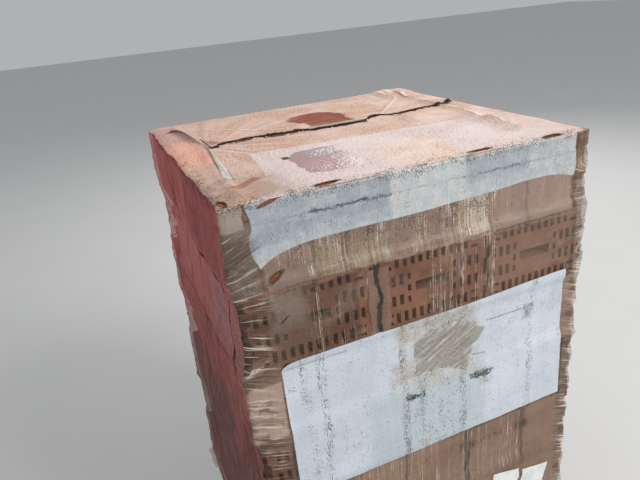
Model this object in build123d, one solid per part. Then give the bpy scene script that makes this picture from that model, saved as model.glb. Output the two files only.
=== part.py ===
from build123d import *
import os

# A wrapped pallet of perforated clay blocks, in millimetres.
# +Z is up, and the front of the load looks along -Y. The origin is on the floor,
# under the middle of the load.

# Block: fired clay, extruded along its perforations, with tongued and grooved heads
brick_length = 300.0
brick_height = 196.0
brick_depth = 190.0

tongue_reach = 8.0
tongue_root = 42.0
tongue_tip = 28.0
tongue_offset = 39.0
tongue_clearance = 1.0

# Perforations, on one pitch along the block. The shells are the solid clay round them
bed_shell = 8.0
head_shell = 15.5
slot_width = 11.0
shell_slot_height = 30.0
shell_slot_count = 10
shell_web = 18.5
inner_slot_height = 29.0
inner_slot_columns = (4, 5, 6)
short_slot_width = 9.0
short_slot_height = 18.0
short_slot_spacing = 31.0
short_slot_column = 3
end_slot_length = 23.0
end_slot_height = 9.0
end_slot_spacing = 23.0
grip_length = 95.0
grip_height = 26.0

# Load: layers of three rows with five blocks in a row, each layer turned a quarter.
# Slips are how far the rows stand out along themselves, and shifts how far each layer,
# from the lowest up, is pushed across its rows.
bricks_in_row = 5
head_gaps = (22.0, 10.0)
row_slips = (-3.0, 2.0, 0.0)
layer_shifts = (-6.0, 4.0, 7.0, -5.0, -7.0, 3.0, 8.0, 0.0)
front_layer = 7
joint_gap = 2.0
head_joint_depth = 10.0
top_joint_depth = 5.0

# Pallet: deck boards and bottom boards nailed across three bearers
pallet_inset = 19.0
deck_thickness = 22.0
deck_board_width = 98.0
deck_board_count = 7
bearer_width = 95.0
bearer_height = 76.0
bearer_count = 3
bottom_thickness = 22.0
bottom_board_width = 98.0
bottom_board_count = 3

# Film: shrunk over the load and into its set-back layers, open below, down past the deck
film_thickness = 0.8
film_clearance = 0.6
film_hem = 20.0

# Sizes that follow from those above
slot_pitch = (brick_length / 2 - head_shell - slot_width / 2) / max(inner_slot_columns)
shell_slot_level = brick_height / 2 - bed_shell - shell_slot_height / 2
inner_slot_level = shell_slot_level - (shell_slot_height + inner_slot_height) / 2 - shell_web
end_slot_centre = brick_length / 2 - head_shell - end_slot_length / 2

row_length = bricks_in_row * brick_depth + (bricks_in_row - 1) * joint_gap
rows_width = len(row_slips) * brick_length + sum(head_gaps) + tongue_reach
load_side = max(row_length + 2 * max(map(abs, row_slips)), rows_width + 2 * max(map(abs, layer_shifts)))
pallet_side = load_side - 2 * pallet_inset
pallet_height = bottom_thickness + bearer_height + deck_thickness


def head_teeth(side, reach, growth):
    """Corners of the two teeth on one head, from the lowest up, as far out as reach."""
    corners = []
    for level in (-tongue_offset, tongue_offset):
        root = tongue_root / 2 + growth
        tip = tongue_tip / 2 + growth
        corners += [
            (side, level - root),
            (side + reach, level - tip),
            (side + reach, level + tip),
            (side, level + root),
        ]
    return corners


def brick_outline():
    """Section of a block: grooves in its left head, tongues on its right head."""
    half_length = brick_length / 2
    half_height = brick_height / 2
    tongues = head_teeth(half_length, tongue_reach, 0)
    grooves = head_teeth(-half_length, tongue_reach + tongue_clearance, tongue_clearance)
    right = [(half_length, -half_height), *tongues, (half_length, half_height)]
    left = [(-half_length, half_height), *reversed(grooves), (-half_length, -half_height)]
    return make_face(Polyline(*right, *left, close=True))


def both_signs(values):
    """The values and their mirror images."""
    return [sign * value for sign in (-1, 1) for value in values]


def slots(width, height, columns, levels):
    """Rectangular slots at every crossing of the columns and the levels."""
    return [Pos(column, level) * Rectangle(width, height) for column in columns for level in levels]


def perforations():
    """All slots of a block: two rows under the shells, short ones round the grip."""
    shell_columns = [(k - (shell_slot_count - 1) / 2) * slot_pitch for k in range(shell_slot_count)]
    shell_levels = both_signs([shell_slot_level])
    inner_columns = both_signs([column * slot_pitch for column in inner_slot_columns])
    short_columns = both_signs([short_slot_column * slot_pitch])
    short_levels = (-short_slot_spacing, 0, short_slot_spacing)
    end_columns = both_signs([end_slot_centre])
    end_levels = [level + step for level in shell_levels for step in both_signs([end_slot_spacing / 2])]
    holes = slots(slot_width, shell_slot_height, shell_columns, shell_levels)
    holes += slots(slot_width, inner_slot_height, inner_columns, both_signs([inner_slot_level]))
    holes += slots(short_slot_width, short_slot_height, short_columns, short_levels)
    holes += slots(end_slot_length, end_slot_height, end_columns, end_levels)
    holes.append(Rectangle(grip_length, grip_height))
    return holes


def joint_places():
    """Where the blocks of a row meet, along the row."""
    step = brick_depth + joint_gap
    return [(k - (bricks_in_row - 2) / 2) * step for k in range(bricks_in_row - 1)]


def row_places():
    """Where each row of a layer goes, with the tongues of the last row counted in."""
    places = []
    centre = (brick_length - rows_width) / 2
    for slip, gap in zip(row_slips, (*head_gaps, 0)):
        places.append(Pos(centre, slip, 0))
        centre += brick_length + gap
    return places


def brick_row():
    """Five blocks end to end along Y, perforated right through."""
    section = brick_outline() - perforations()
    back = Plane.XZ.offset(-row_length / 2)
    return extrude(back * section, row_length)


def head_joints(side):
    """Cuts between the blocks in the head at the left (-1) or right (1) of a row."""
    outer = brick_length / 2 + tongue_reach
    inner = brick_length / 2 - head_joint_depth
    cut = Box(outer - inner, joint_gap, brick_height)
    return [Pos(side * (outer + inner) / 2, place, 0) * cut for place in joint_places()]


def top_joints():
    """Cuts between the blocks in the top of a row."""
    width = brick_length + 2 * tongue_reach
    level = (brick_height - top_joint_depth) / 2
    cut = Box(width, joint_gap, top_joint_depth)
    return [Pos(0, place, level) * cut for place in joint_places()]


def brick_layer(is_top):
    """One layer: rows that don't touch, with the joints that can be seen."""
    row = brick_row()
    if is_top:
        row -= top_joints()
    first, *inner, last = row_places()
    rows = [first * (row - head_joints(-1))]
    rows += [place * row for place in inner]
    rows.append(last * (row - head_joints(1)))
    return rows


def spread(count, width):
    """Middles of boards of one width, spread evenly over the pallet's side."""
    reach = pallet_side - width
    return [reach * (k / (count - 1) - 0.5) for k in range(count)]


def layer_place(number):
    """Where a layer goes: its level, its quarter turns and its push across the rows."""
    level = pallet_height + (number - 0.5) * brick_height
    turn = 90 * (number - front_layer)
    return Pos(0, 0, level) * Rot(0, 0, turn) * Pos(layer_shifts[number - 1], 0, 0)


def wrapped_layers(growth, foot):
    """The layers as plain blocks grown on every side, the lowest one down to the foot."""
    length = row_length + 2 * max(map(abs, row_slips))
    size = (rows_width + 2 * growth, length + 2 * growth, brick_height + 2 * growth)
    blocks = [layer_place(number) * Box(*size) for number in range(1, len(layer_shifts) + 1)]
    drop = pallet_height - growth - foot
    skirt = layer_place(1) * Pos(0, 0, -(size[2] + drop) / 2) * Box(size[0], size[1], drop)
    return blocks[0].fuse(skirt, *blocks[1:])


def save(shape, name):
    """Write one sub-part to its own file."""
    export_step(shape, f"parts/{name}.step")


os.makedirs("parts", exist_ok=True)

# Brick layers, from the pallet up
closed_layer = brick_layer(is_top=False)
open_layer = brick_layer(is_top=True)
for number in range(1, len(layer_shifts) + 1):
    rows = open_layer if number == len(layer_shifts) else closed_layer
    place = layer_place(number)
    save(Compound(children=[place * row for row in rows]), f"brick_layer_{number}")

# Pallet
for number, y in enumerate(spread(bottom_board_count, bottom_board_width), 1):
    board = Box(pallet_side, bottom_board_width, bottom_thickness)
    save(Pos(0, y, bottom_thickness / 2) * board, f"bottom_board_{number}")
for number, x in enumerate(spread(bearer_count, bearer_width), 1):
    bearer = Box(bearer_width, pallet_side, bearer_height)
    save(Pos(x, 0, bottom_thickness + bearer_height / 2) * bearer, f"bearer_{number}")
for number, y in enumerate(spread(deck_board_count, deck_board_width), 1):
    board = Box(pallet_side, deck_board_width, deck_thickness)
    save(Pos(0, y, pallet_height - deck_thickness / 2) * board, f"deck_board_{number}")

# Film
film_foot = pallet_height - film_hem
room = wrapped_layers(film_clearance, film_foot - film_thickness)
hood = wrapped_layers(film_clearance + film_thickness, film_foot)
save(hood - room, "shrink_film")
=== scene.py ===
import logging
import math
import operator
from dataclasses import dataclass, field
from enum import Enum
from functools import reduce
from typing import Callable

import bmesh
import bpy
import numpy as np
from mathutils import Matrix, Vector


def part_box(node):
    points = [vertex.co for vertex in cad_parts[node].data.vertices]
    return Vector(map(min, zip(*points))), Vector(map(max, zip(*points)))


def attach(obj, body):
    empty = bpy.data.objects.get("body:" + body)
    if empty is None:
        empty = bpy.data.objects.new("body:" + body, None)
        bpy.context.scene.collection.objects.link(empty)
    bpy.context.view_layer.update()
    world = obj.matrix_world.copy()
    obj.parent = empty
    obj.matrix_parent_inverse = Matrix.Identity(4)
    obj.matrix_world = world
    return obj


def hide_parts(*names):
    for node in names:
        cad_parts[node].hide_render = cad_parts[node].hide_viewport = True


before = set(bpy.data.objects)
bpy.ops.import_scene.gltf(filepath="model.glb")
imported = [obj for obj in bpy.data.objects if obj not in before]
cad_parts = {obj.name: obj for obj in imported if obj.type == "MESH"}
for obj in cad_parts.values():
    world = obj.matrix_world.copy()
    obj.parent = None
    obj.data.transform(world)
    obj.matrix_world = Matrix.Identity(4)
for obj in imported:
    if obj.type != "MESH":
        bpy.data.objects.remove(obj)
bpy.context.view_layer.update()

log = logging.getLogger("pallet_of_bricks")
Array = np.ndarray
Piece = bpy.types.Object
Material = bpy.types.Material
Tree = bpy.types.NodeTree
Faces = list[tuple[int, ...]]
Pair = tuple[float, float]
Triple = tuple[float, float, float]
Colour = Triple
Box = tuple[float, float, float, float]
Line = tuple[Pair, ...]

# Where the blocks of the top layer meet, as x and as y
BLOCK_JOINTS = (-0.289, -0.096, 0.096, 0.289)
ROW_JOINTS = (-0.155, 0.16)
# Depth at which the front's film changes from one material to the next
FRONT_SPLIT = 0.34
# Gap between two sides in the hood's flat coordinates
SIDE_GAP = 0.1


def srgb(red: int, green: int, blue: int) -> Colour:
    """A colour written as 0 to 255 in sRGB, as linear numbers."""
    shares = [value / 255 for value in (red, green, blue)]
    return tuple(share / 12.92 if share <= 0.04045 else ((share + 0.055) / 1.055) ** 2.4 for share in shares)


# Noise and small sums on arrays

def value_noise(x: Array, y: Array, seed: int) -> Array:
    """Smooth noise from -1 to 1 on a unit lattice.

    Args:
        x: First coordinate, in lattice cells.
        y: Second coordinate, in lattice cells.
        seed: Picks the pattern.

    Returns:
        One value for each point.
    """
    side = 64
    table = np.random.default_rng(seed).uniform(-1, 1, (side, side))
    column, row = np.floor(x).astype(int), np.floor(y).astype(int)
    u, v = x - column, y - row
    u, v = u * u * (3 - 2 * u), v * v * (3 - 2 * v)
    left, right = column % side, (column + 1) % side
    front, back = row % side, (row + 1) % side
    low = table[front, left] * (1 - u) + table[front, right] * u
    high = table[back, left] * (1 - u) + table[back, right] * u
    return low * (1 - v) + high * v


def ridges(x: Array, y: Array, seed: int) -> Array:
    """Sharp crests up to 1, as in creased film, with valleys below 0 between them."""
    return 1 - np.abs(value_noise(x, y, seed)) * 2.2


def crests(x: Array, y: Array, seed: int) -> Array:
    """The part of the ridges above 0."""
    return np.clip(ridges(x, y, seed), 0, 1)


def fade(value: Array, start: float, end: float) -> Array:
    """Smooth step from 0 at start to 1 at end; start may be above end."""
    share = np.clip((value - start) / (end - start), 0, 1)
    return share * share * (3 - 2 * share)


def hump(value: Array, width: float) -> Array:
    """1 where the value is 0, falling off on both sides over the width."""
    return np.exp(-((value / width) ** 2))


def blob(u: Array, v: Array, box: Box, soft: float) -> Array:
    """A mask with soft edges.

    Args:
        u: First coordinate.
        v: Second coordinate.
        box: Left, right, low and high.
        soft: How far outside the box the mask falls to 0.

    Returns:
        1 inside the box, 0 well outside it.
    """
    left, right, low, high = box
    across = fade(u, left - soft, left) * fade(u, right + soft, right)
    return across * fade(v, low - soft, low) * fade(v, high + soft, high)


# Meshes

def new_mesh(name: str, points: Array, faces: Faces, smooth: bool = True) -> Piece:
    """A mesh object in the scene, at the origin.

    Args:
        name: The piece's name.
        points: Places of the vertices, in metres.
        faces: Vertex numbers of each face.
        smooth: Whether the faces are shaded smooth.

    Returns:
        The new object.
    """
    mesh = bpy.data.meshes.new(name)
    mesh.from_pydata([tuple(point) for point in points], [], faces)
    mesh.update()
    mesh.polygons.foreach_set("use_smooth", [smooth] * len(mesh.polygons))
    piece = bpy.data.objects.new(name, mesh)
    bpy.context.scene.collection.objects.link(piece)
    return piece


def grid_faces(rows: int, columns: int, first: int = 0, closed: bool = False) -> Faces:
    """Squares over a grid of points that are numbered row by row.

    Args:
        rows: Rows of points.
        columns: Points in a row.
        first: Number of the first point.
        closed: Whether the last column joins the first.

    Returns:
        The point numbers of each square.
    """
    faces = []
    for row in range(rows - 1):
        for column in range(columns if closed else columns - 1):
            here = first + row * columns + column
            ahead = first + row * columns + (column + 1) % columns
            faces.append((here, ahead, ahead + columns, here + columns))
    return faces


def add_flat_map(piece: Piece, name: str, flat: Array) -> None:
    """Store each point's place on the flat sheet as a UV map.

    Args:
        piece: The piece.
        name: The map's name.
        flat: Places by point, in metres.
    """
    layer = piece.data.uv_layers.new(name=name)
    loops = np.array([loop.vertex_index for loop in piece.data.loops])
    layer.data.foreach_set("uv", flat[loops].astype(np.float32).ravel())


def grid_piece(name: str, places: Array, across: Array, down: Array, closed: bool = False) -> Piece:
    """A piece over a grid of points.

    Args:
        name: The piece's name.
        places: Points by row and column.
        across: First flat coordinate of each point, in metres.
        down: Second flat coordinate.
        closed: Whether the last column joins the first.

    Returns:
        The piece.
    """
    piece = new_mesh(name, places.reshape(-1, 3), grid_faces(*places.shape[:2], closed=closed))
    add_flat_map(piece, "scrap_metres", np.stack([across, down], -1).reshape(-1, 2))
    return piece


def keep(piece: Piece, slot: str | None, *replaced: str) -> None:
    """Let a finished piece ride on the load.

    Args:
        piece: The piece.
        slot: Its slot, if it has one; not used.
        replaced: The CAD nodes that it stands for.
    """
    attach(piece, "root")
    if replaced:
        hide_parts(*replaced)
    log.info("%s: %d faces", piece.name, len(piece.data.polygons))


# Shader graphs

class Signal:
    """A number or vector that changes over a surface. Sums on it add nodes."""

    def __init__(self, graph: "Graph", socket: bpy.types.NodeSocket) -> None:
        """Wrap an output of one of the graph's nodes."""
        self.graph, self.socket = graph, socket

    def __add__(self, other: "Input") -> "Signal":
        """The sum."""
        return self.graph.math("ADD", self, other)

    def __sub__(self, other: "Input") -> "Signal":
        """The difference."""
        return self.graph.math("SUBTRACT", self, other)

    def __mul__(self, other: "Input") -> "Signal":
        """The product."""
        return self.graph.math("MULTIPLY", self, other)

    def __truediv__(self, other: "Input") -> "Signal":
        """The quotient."""
        return self.graph.math("DIVIDE", self, other)

    def __or__(self, other: "Input") -> "Signal":
        """The higher of the two."""
        return self.graph.math("MAXIMUM", self, other)

    def __and__(self, other: "Input") -> "Signal":
        """The lower of the two."""
        return self.graph.math("MINIMUM", self, other)

    def __abs__(self) -> "Signal":
        """The size without its sign."""
        return self.graph.math("ABSOLUTE", self)

    def sine(self) -> "Signal":
        """The sine."""
        return self.graph.math("SINE", self)

    def scaled(self, factor: "Input", base: "Input") -> "Signal":
        """The signal times a factor, added to a base."""
        return self.graph.math("MULTIPLY_ADD", self, factor, base)

    def sway(self, amount: float, around: "Input | None" = None) -> "Signal":
        """How far a noise strays from a half, times an amount, added to a value where one is given."""
        stray = self - 0.5
        return stray * amount if around is None else stray.scaled(amount, around)

    def without(self, share: "Input") -> "Signal":
        """The signal times one minus a share."""
        return self * self.graph.math("SUBTRACT", 1.0, share)

    def step(self, start: float, end: float, low: float = 0.0, high: float = 1.0) -> "Signal":
        """Smooth step between two numbers.

        Args:
            start: Where it is still low.
            end: Where it is high. It may be below start.
            low: The number at start.
            high: The number at end.

        Returns:
            The step.
        """
        if start > end:
            start, end, low, high = end, start, high, low
        inputs = dict(enumerate((self, start, end, low, high)))
        return self.graph.add("MapRange", inputs, interpolation_type="SMOOTHSTEP")

    def line(self, middle: "Input", outer: float, inner: float) -> "Signal":
        """A mask: 1 where the signal is nearer than inner to the middle, 0 past outer."""
        return abs(self - middle).step(outer, inner)


Input = Signal | float | Triple


def highest(signals: list[Signal]) -> Signal:
    """The highest of some signals."""
    return reduce(operator.or_, signals)


class Graph:
    """Short calls for the nodes of one material or node group."""

    def __init__(self, tree: Tree) -> None:
        """Take over a node tree."""
        self.tree = tree

    def feed(self, socket: bpy.types.NodeSocket, value: Input) -> None:
        """Link a socket to a signal, or set its number, vector or colour.

        Args:
            socket: The input.
            value: What goes in.
        """
        if isinstance(value, Signal):
            self.tree.links.new(value.socket, socket)
        elif isinstance(value, tuple) and len(value) == 3 and len(socket.default_value) == 4:
            socket.default_value = (*value, 1.0)
        else:
            socket.default_value = value

    def add(
        self, kind: str, inputs: dict[int | str, Input], output: int | str = 0, **settings: object
    ) -> Signal:
        """Add a node.

        Args:
            kind: The node's type, without its first part.
            inputs: Values or signals by the input's number or name.
            output: Number or name of the output that is wanted.
            settings: The node's plain properties.

        Returns:
            That output.
        """
        made = self.tree.nodes.new("ShaderNode" + kind)
        for name, value in settings.items():
            setattr(made, name, value)
        for name, value in inputs.items():
            self.feed(made.inputs[name], value)
        return Signal(self, made.outputs[output])

    def math(self, operation: str, *values: Input, clamp: bool = False) -> Signal:
        """A sum on one to three numbers."""
        return self.add("Math", dict(enumerate(values)), operation=operation, use_clamp=clamp)

    def split(self, vector: Signal) -> list[Signal]:
        """The three numbers of a vector."""
        first = self.add("SeparateXYZ", {0: vector})
        return [Signal(self, socket) for socket in first.socket.node.outputs]

    def join(self, x: Input, y: Input, z: Input = 0.0) -> Signal:
        """A vector from three numbers."""
        return self.add("CombineXYZ", {0: x, 1: y, 2: z})

    def stretch(self, vector: Signal, scale: Triple, turn: float = 0.0) -> Signal:
        """The vector scaled, then turned about Z."""
        return self.add("Mapping", {"Vector": vector, "Rotation": (0.0, 0.0, turn), "Scale": scale})

    def noise(
        self, vector: Signal, scale: float, detail: float, rough: float = 0.55, twist: float = 0.0
    ) -> Signal:
        """Fractal noise from 0 to 1."""
        inputs = {"Vector": vector, "Scale": scale, "Detail": detail, "Roughness": rough, "Distortion": twist}
        return self.add("TexNoise", inputs, "Fac")

    def cells(self, vector: Signal, scale: float, output: str = "Distance") -> Signal:
        """Distance to the nearest of scattered points, or another output of the cells."""
        return self.add("TexVoronoi", {"Vector": vector, "Scale": scale}, output)

    def mix(self, share: Input, first: Input, second: Input) -> Signal:
        """A colour between two."""
        return self.add("Mix", {"Factor": share, 6: first, 7: second}, 2, data_type="RGBA")

    def blend(self, share: Input, first: Input, second: Input) -> Signal:
        """A number between two."""
        return self.add("Mix", {"Factor": share, 2: first, 3: second}, data_type="FLOAT")

    def curve(self, value: Signal, points: Line) -> Signal:
        """A line through points, as a height for each value.

        Args:
            value: Where along the line.
            points: Places and heights, from the left.

        Returns:
            The line's height at the value.
        """
        low, high = points[0][0], points[-1][0]
        heights = [height for _, height in points]
        bottom, top = min(heights) - 0.01, max(heights) + 0.01
        span, rise = high - low, top - bottom
        share = self.add("FloatCurve", {"Value": (value - low) / span})
        mapping = share.socket.node.mapping
        line = mapping.curves[0]
        shares = [((place - low) / span, (height - bottom) / rise) for place, height in points]
        line.points[0].location, line.points[1].location = shares[0], shares[-1]
        for place in shares[1:-1]:
            line.points.new(*place)
        for point in line.points:
            point.handle_type = "AUTO_CLAMPED"
        mapping.update()
        return share.scaled(rise, bottom)

    def box(self, u: Signal, v: Signal, box: Box, soft: float) -> Signal:
        """A mask with soft edges.

        Args:
            u: First coordinate.
            v: Second coordinate.
            box: Left, right, low and high.
            soft: How far outside the box the mask falls to 0.

        Returns:
            1 inside the box, 0 well outside it.
        """
        left, right, low, high = box
        across = u.step(left - soft, left) & u.step(right + soft, right)
        return across & v.step(low - soft, low) & v.step(high + soft, high)

    def group(self, tree: Tree, **inputs: Input) -> list[Signal]:
        """Place a node group, set or link its inputs, and give its outputs."""
        first = self.add("Group", inputs, node_tree=tree)
        return [Signal(self, socket) for socket in first.socket.node.outputs]


def make_group(name: str, inputs: dict[str, str], build: Callable[..., dict[str, Signal]]) -> Tree:
    """A node group that puts out masks.

    Args:
        name: The group's name.
        inputs: Kinds of its inputs by name.
        build: Makes the masks, by name, from the group's graph and its inputs.

    Returns:
        The group.
    """
    tree = bpy.data.node_groups.new(name, "ShaderNodeTree")
    for label, kind in inputs.items():
        tree.interface.new_socket(label, in_out="INPUT", socket_type="NodeSocket" + kind)
    graph = Graph(tree)
    source = tree.nodes.new("NodeGroupInput")
    masks = build(graph, *(Signal(graph, source.outputs[label]) for label in inputs))
    for label in masks:
        tree.interface.new_socket(label, in_out="OUTPUT", socket_type="NodeSocketFloat")
    sink = tree.nodes.new("NodeGroupOutput")
    for label, mask in masks.items():
        graph.feed(sink.inputs[label], mask)
    return tree


def drip_mask(g: Graph, across: Signal, down: Signal, share: Signal) -> dict[str, Signal]:
    """Thin runs of dried water: uneven along, broken down their length, in clumps.

    Args:
        g: The group's graph.
        across: Distance across them, in metres.
        down: Distance down them, in metres.
        share: How much of the surface they cover.

    Returns:
        The mask.
    """
    lines = g.noise(g.join(across * 310.0, down * 0.9), 1.0, 1.0, 0.5)
    thick = g.noise(g.join(across * 70.0, down * 2.2, 3.7), 1.0, 2.0, 0.6)
    broken = g.noise(g.join(across * 380.0, down * 30.0, 9.1), 1.0, 2.0, 0.6)
    clump = g.noise(g.join(across * 24.0, down * 3.0, 5.5), 1.0, 2.0, 0.6)
    runs = (lines * 0.62 + thick * 0.38 - share.scaled(-0.18, 0.63)).step(0.0, 0.08)
    return {"Mask": runs * broken.step(0.38, 0.60, 0.25, 1.0) * clump.step(0.40, 0.58, 0.2, 1.0)}


def speck_mask(g: Graph, vector: Signal, share: Signal, size: Signal) -> dict[str, Signal]:
    """Small round specks of mould or dirt in clusters.

    Args:
        g: The group's graph.
        vector: Place on the surface, in metres.
        share: How much of the surface they cover.
        size: How many fit in a metre.

    Returns:
        The mask.
    """
    finer = g.add("VectorMath", {0: vector, "Scale": size}, operation="SCALE")
    wanted = share.scaled(0.6, g.noise(finer, 0.13, 3.0, 0.65).scaled(1.2, -0.6))
    spots = (wanted - g.cells(finer, 1.0)).step(-0.03, 0.06)
    return {"Mask": spots * share.step(0.0, 0.08)}


def blotch_mask(g: Graph, vector: Signal, share: Signal) -> dict[str, Signal]:
    """Cloudy patches, from broad to fine."""
    both = g.noise(vector, 5.0, 4.0, 0.6, 0.4) * 0.65 + g.noise(vector, 38.0, 4.0, 0.7) * 0.35
    return {"Mask": (both + share - 1.0).step(-0.09, 0.09)}


def crease_masks(g: Graph, across: Signal, down: Signal, slope: Signal) -> dict[str, Signal]:
    """Tight lines in stretched film, pale on their crests, partly stress whitening and partly painted
    highlight, and dark between them as painted shade.

    Args:
        g: The group's graph.
        across: Distance across them, in metres.
        down: Distance down them, in metres.
        slope: How far they fall over their length.

    Returns:
        The pale and the dark mask.
    """
    level = across.scaled(slope, down)
    fine = g.noise(g.join(across * 7.0, level * 210.0), 1.0, 2.0)
    broad = g.noise(g.join(across * 9.0, level * 62.0, 5.2), 1.0, 2.0)
    both = fine * 0.6 + broad * 0.4
    return {"Pale": both.step(0.53, 0.62), "Dark": both.step(0.46, 0.37)}


class Effects:
    """Effects that more than one finish uses, each a node group made once."""

    def __init__(self) -> None:
        """Make the groups."""
        flow, spread = {"Across": "Float", "Down": "Float"}, {"Vector": "Vector", "Share": "Float"}
        self.drips = make_group("dried_drips", {**flow, "Share": "Float"}, drip_mask)
        self.specks = make_group("specks", {**spread, "Size": "Float"}, speck_mask)
        self.blotches = make_group("blotches", spread, blotch_mask)
        self.creases = make_group("creases", {**flow, "Slope": "Float"}, crease_masks)


class Surface(Graph):
    """The graph of a material with one principled shader, with the shared effects at hand."""

    def __init__(self, name: str, effects: Effects) -> None:
        """Make the material.

        Args:
            name: Its name.
            effects: Shared node groups.
        """
        self.material = bpy.data.materials.new(name)
        self.material.use_nodes = True
        super().__init__(self.material.node_tree)
        self.effects = effects

    def place(self) -> Signal:
        """Where a point lies on the object, in metres."""
        return self.add("TexCoord", {}, "Object")

    def drips(self, across: Input, down: Input, share: Input) -> Signal:
        """A mask of dried drips."""
        return self.group(self.effects.drips, Across=across, Down=down, Share=share)[0]

    def specks(self, vector: Signal, size: float, share: Input) -> Signal:
        """A mask of clustered specks."""
        return self.group(self.effects.specks, Vector=vector, Size=size, Share=share)[0]

    def blotches(self, vector: Signal, share: float) -> Signal:
        """A mask of cloudy patches."""
        return self.group(self.effects.blotches, Vector=vector, Share=share)[0]

    def creases(self, across: Input, down: Input, slope: Input) -> list[Signal]:
        """Masks of the pale and of the dark lines of tight film."""
        return self.group(self.effects.creases, Across=across, Down=down, Slope=slope)

    def finish(self, inputs: dict[str, Input], height: Signal | None = None, rise: float = 0.0) -> Material:
        """Feed the shader.

        Args:
            inputs: Values or signals by the shader's input.
            height: Relief that bends the normal.
            rise: Height of the relief where it is 1, in metres.

        Returns:
            The material.
        """
        shader = self.tree.nodes["Principled BSDF"]
        for name, value in inputs.items():
            self.feed(shader.inputs[name], value)
        if height is not None:
            bump = self.add("Bump", {"Strength": 1.0, "Distance": rise, "Height": height})
            self.feed(shader.inputs["Normal"], bump)
        return self.material


class Coat:
    """Colours laid one over the other, and the alpha of the whole."""

    def __init__(self, graph: Graph, colour: Input, alpha: Input = 1.0) -> None:
        """Start with one colour."""
        self.graph, self.colour, self.alpha = graph, colour, alpha

    def paint(self, colour: Input, first: Signal, *shares: Input) -> None:
        """Lay a colour over the rest, as densely as the product of the shares says."""
        self.colour = self.graph.mix(math.prod(shares, start=first), self.colour, colour)

    def thicken(self, first: Signal, *shares: Input) -> None:
        """Raise the alpha to the product of the shares where that is higher."""
        self.alpha = self.alpha | math.prod(shares, start=first)

    def stain(self, colour: Input, mask: Signal, strength: float) -> None:
        """Lay a colour over the rest and raise the alpha with it."""
        self.paint(colour, mask, strength)
        self.thicken(mask, min(1.0, strength + 0.15))


# Finishes of the clay, the wood and the small pieces

@dataclass(frozen=True)
class ClayFinish:
    """Fired clay: red-brown with paler and darker blocks, drag lines along the extrusion and pale dust."""

    fired: Colour = srgb(118, 74, 56)
    pale: Colour = srgb(144, 100, 80)
    dark: Colour = srgb(86, 54, 42)
    dust: Colour = srgb(158, 126, 106)
    # Painted light: the clay where the tears open the film, brighter and more orange
    bare_lit_clay: Colour = srgb(172, 98, 58)
    block_pitch: float = 5.2
    drag_pitch: float = 0.0042
    roughness: float = 0.86

    def material(
        self, name: str, effects: Effects, along_x: bool, base: float, height: float, bare: tuple[Triple, ...]
    ) -> Material:
        """The material of one layer.

        Args:
            name: The material's name.
            effects: Shared node groups.
            along_x: Whether the rows run along X, and with them the drag lines.
            base: Level of the layer's underside.
            height: Height of the layer.
            bare: Places that a tear in the film lays open, where the clay is painted brighter and more orange
                as painted light.

        Returns:
            The material.
        """
        g = Surface(name, effects)
        place = g.place()
        x, y, z = g.split(place)
        along, across = (x, y) if along_x else (y, x)
        block = g.join(g.math("FLOOR", x * self.block_pitch), g.math("FLOOR", y * self.block_pitch), base)
        tone = g.split(g.cells(block, 1.0, "Color"))[0]
        cloud = g.noise(place, 9.0, 5.0, 0.62)
        grit = g.noise(place, 420.0, 2.0, 0.7)
        drag = g.noise(g.join(across * 230.0, z * 230.0, along * 3.0), 1.0, 3.0, 0.7)
        worn = g.blotches(place, 0.42)
        coat = Coat(g, g.mix((cloud * 0.7 + tone * 0.4).step(0.35, 0.78), self.dark, self.fired))
        coat.paint(self.pale, (cloud + tone * 0.4).step(0.66, 1.0), 0.8)
        coat.paint(self.pale, drag.step(0.42, 0.7), 0.35)
        coat.paint(self.dust, worn, 0.55)
        coat.paint(self.dust, z.step(base + height * 0.22, base), grit.step(0.4, 0.7), 0.5)
        # Painted light on the clay that each tear lays open
        for spot in bare:
            away = g.add("VectorMath", {0: place, 1: spot}, "Value", operation="DISTANCE")
            coat.paint(self.bare_lit_clay, away.step(0.045, 0.035), cloud.step(0.38, 0.58, 0.25, 1.0))
        comb = (z * (2 * math.pi / self.drag_pitch)).sine()
        rough = g.blend(worn, self.roughness, 0.97)
        looks = {"Base Color": coat.colour, "Roughness": rough, "Specular IOR Level": 0.25}
        return g.finish(looks, comb * 0.22 + drag + grit * 0.45 + cloud * 0.5, 0.0011)


@dataclass(frozen=True)
class WoodFinish:
    """Rough sawn softwood, grey with damp, with grain along the board."""

    heart: Colour = srgb(150, 122, 90)
    grey: Colour = srgb(118, 108, 94)
    dark: Colour = srgb(72, 56, 42)

    def material(self, name: str, effects: Effects, along_x: bool) -> Material:
        """The material of boards.

        Args:
            name: The material's name.
            effects: Shared node groups.
            along_x: Whether the grain runs along X, not along Y.

        Returns:
            The material.
        """
        g = Surface(name, effects)
        place = g.place()
        grain_scale = (1.2, 26.0, 26.0) if along_x else (26.0, 1.2, 26.0)
        grain = g.noise(g.stretch(place, grain_scale), 1.6, 5.0, 0.62, 0.7)
        fine = g.noise(g.stretch(place, tuple(4.0 * scale for scale in grain_scale)), 2.0, 3.0, 0.7)
        damp = g.blotches(place, 0.55)
        coat = Coat(g, g.mix(grain.step(0.3, 0.7), self.dark, self.heart))
        coat.paint(self.dark, fine.step(0.4, 0.75), 0.5)
        coat.paint(self.grey, damp, 0.75)
        looks = {"Base Color": coat.colour, "Roughness": g.blend(damp, 0.72, 0.9)}
        return g.finish(looks, grain * 0.6 + fine * 0.5, 0.0016)


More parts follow.
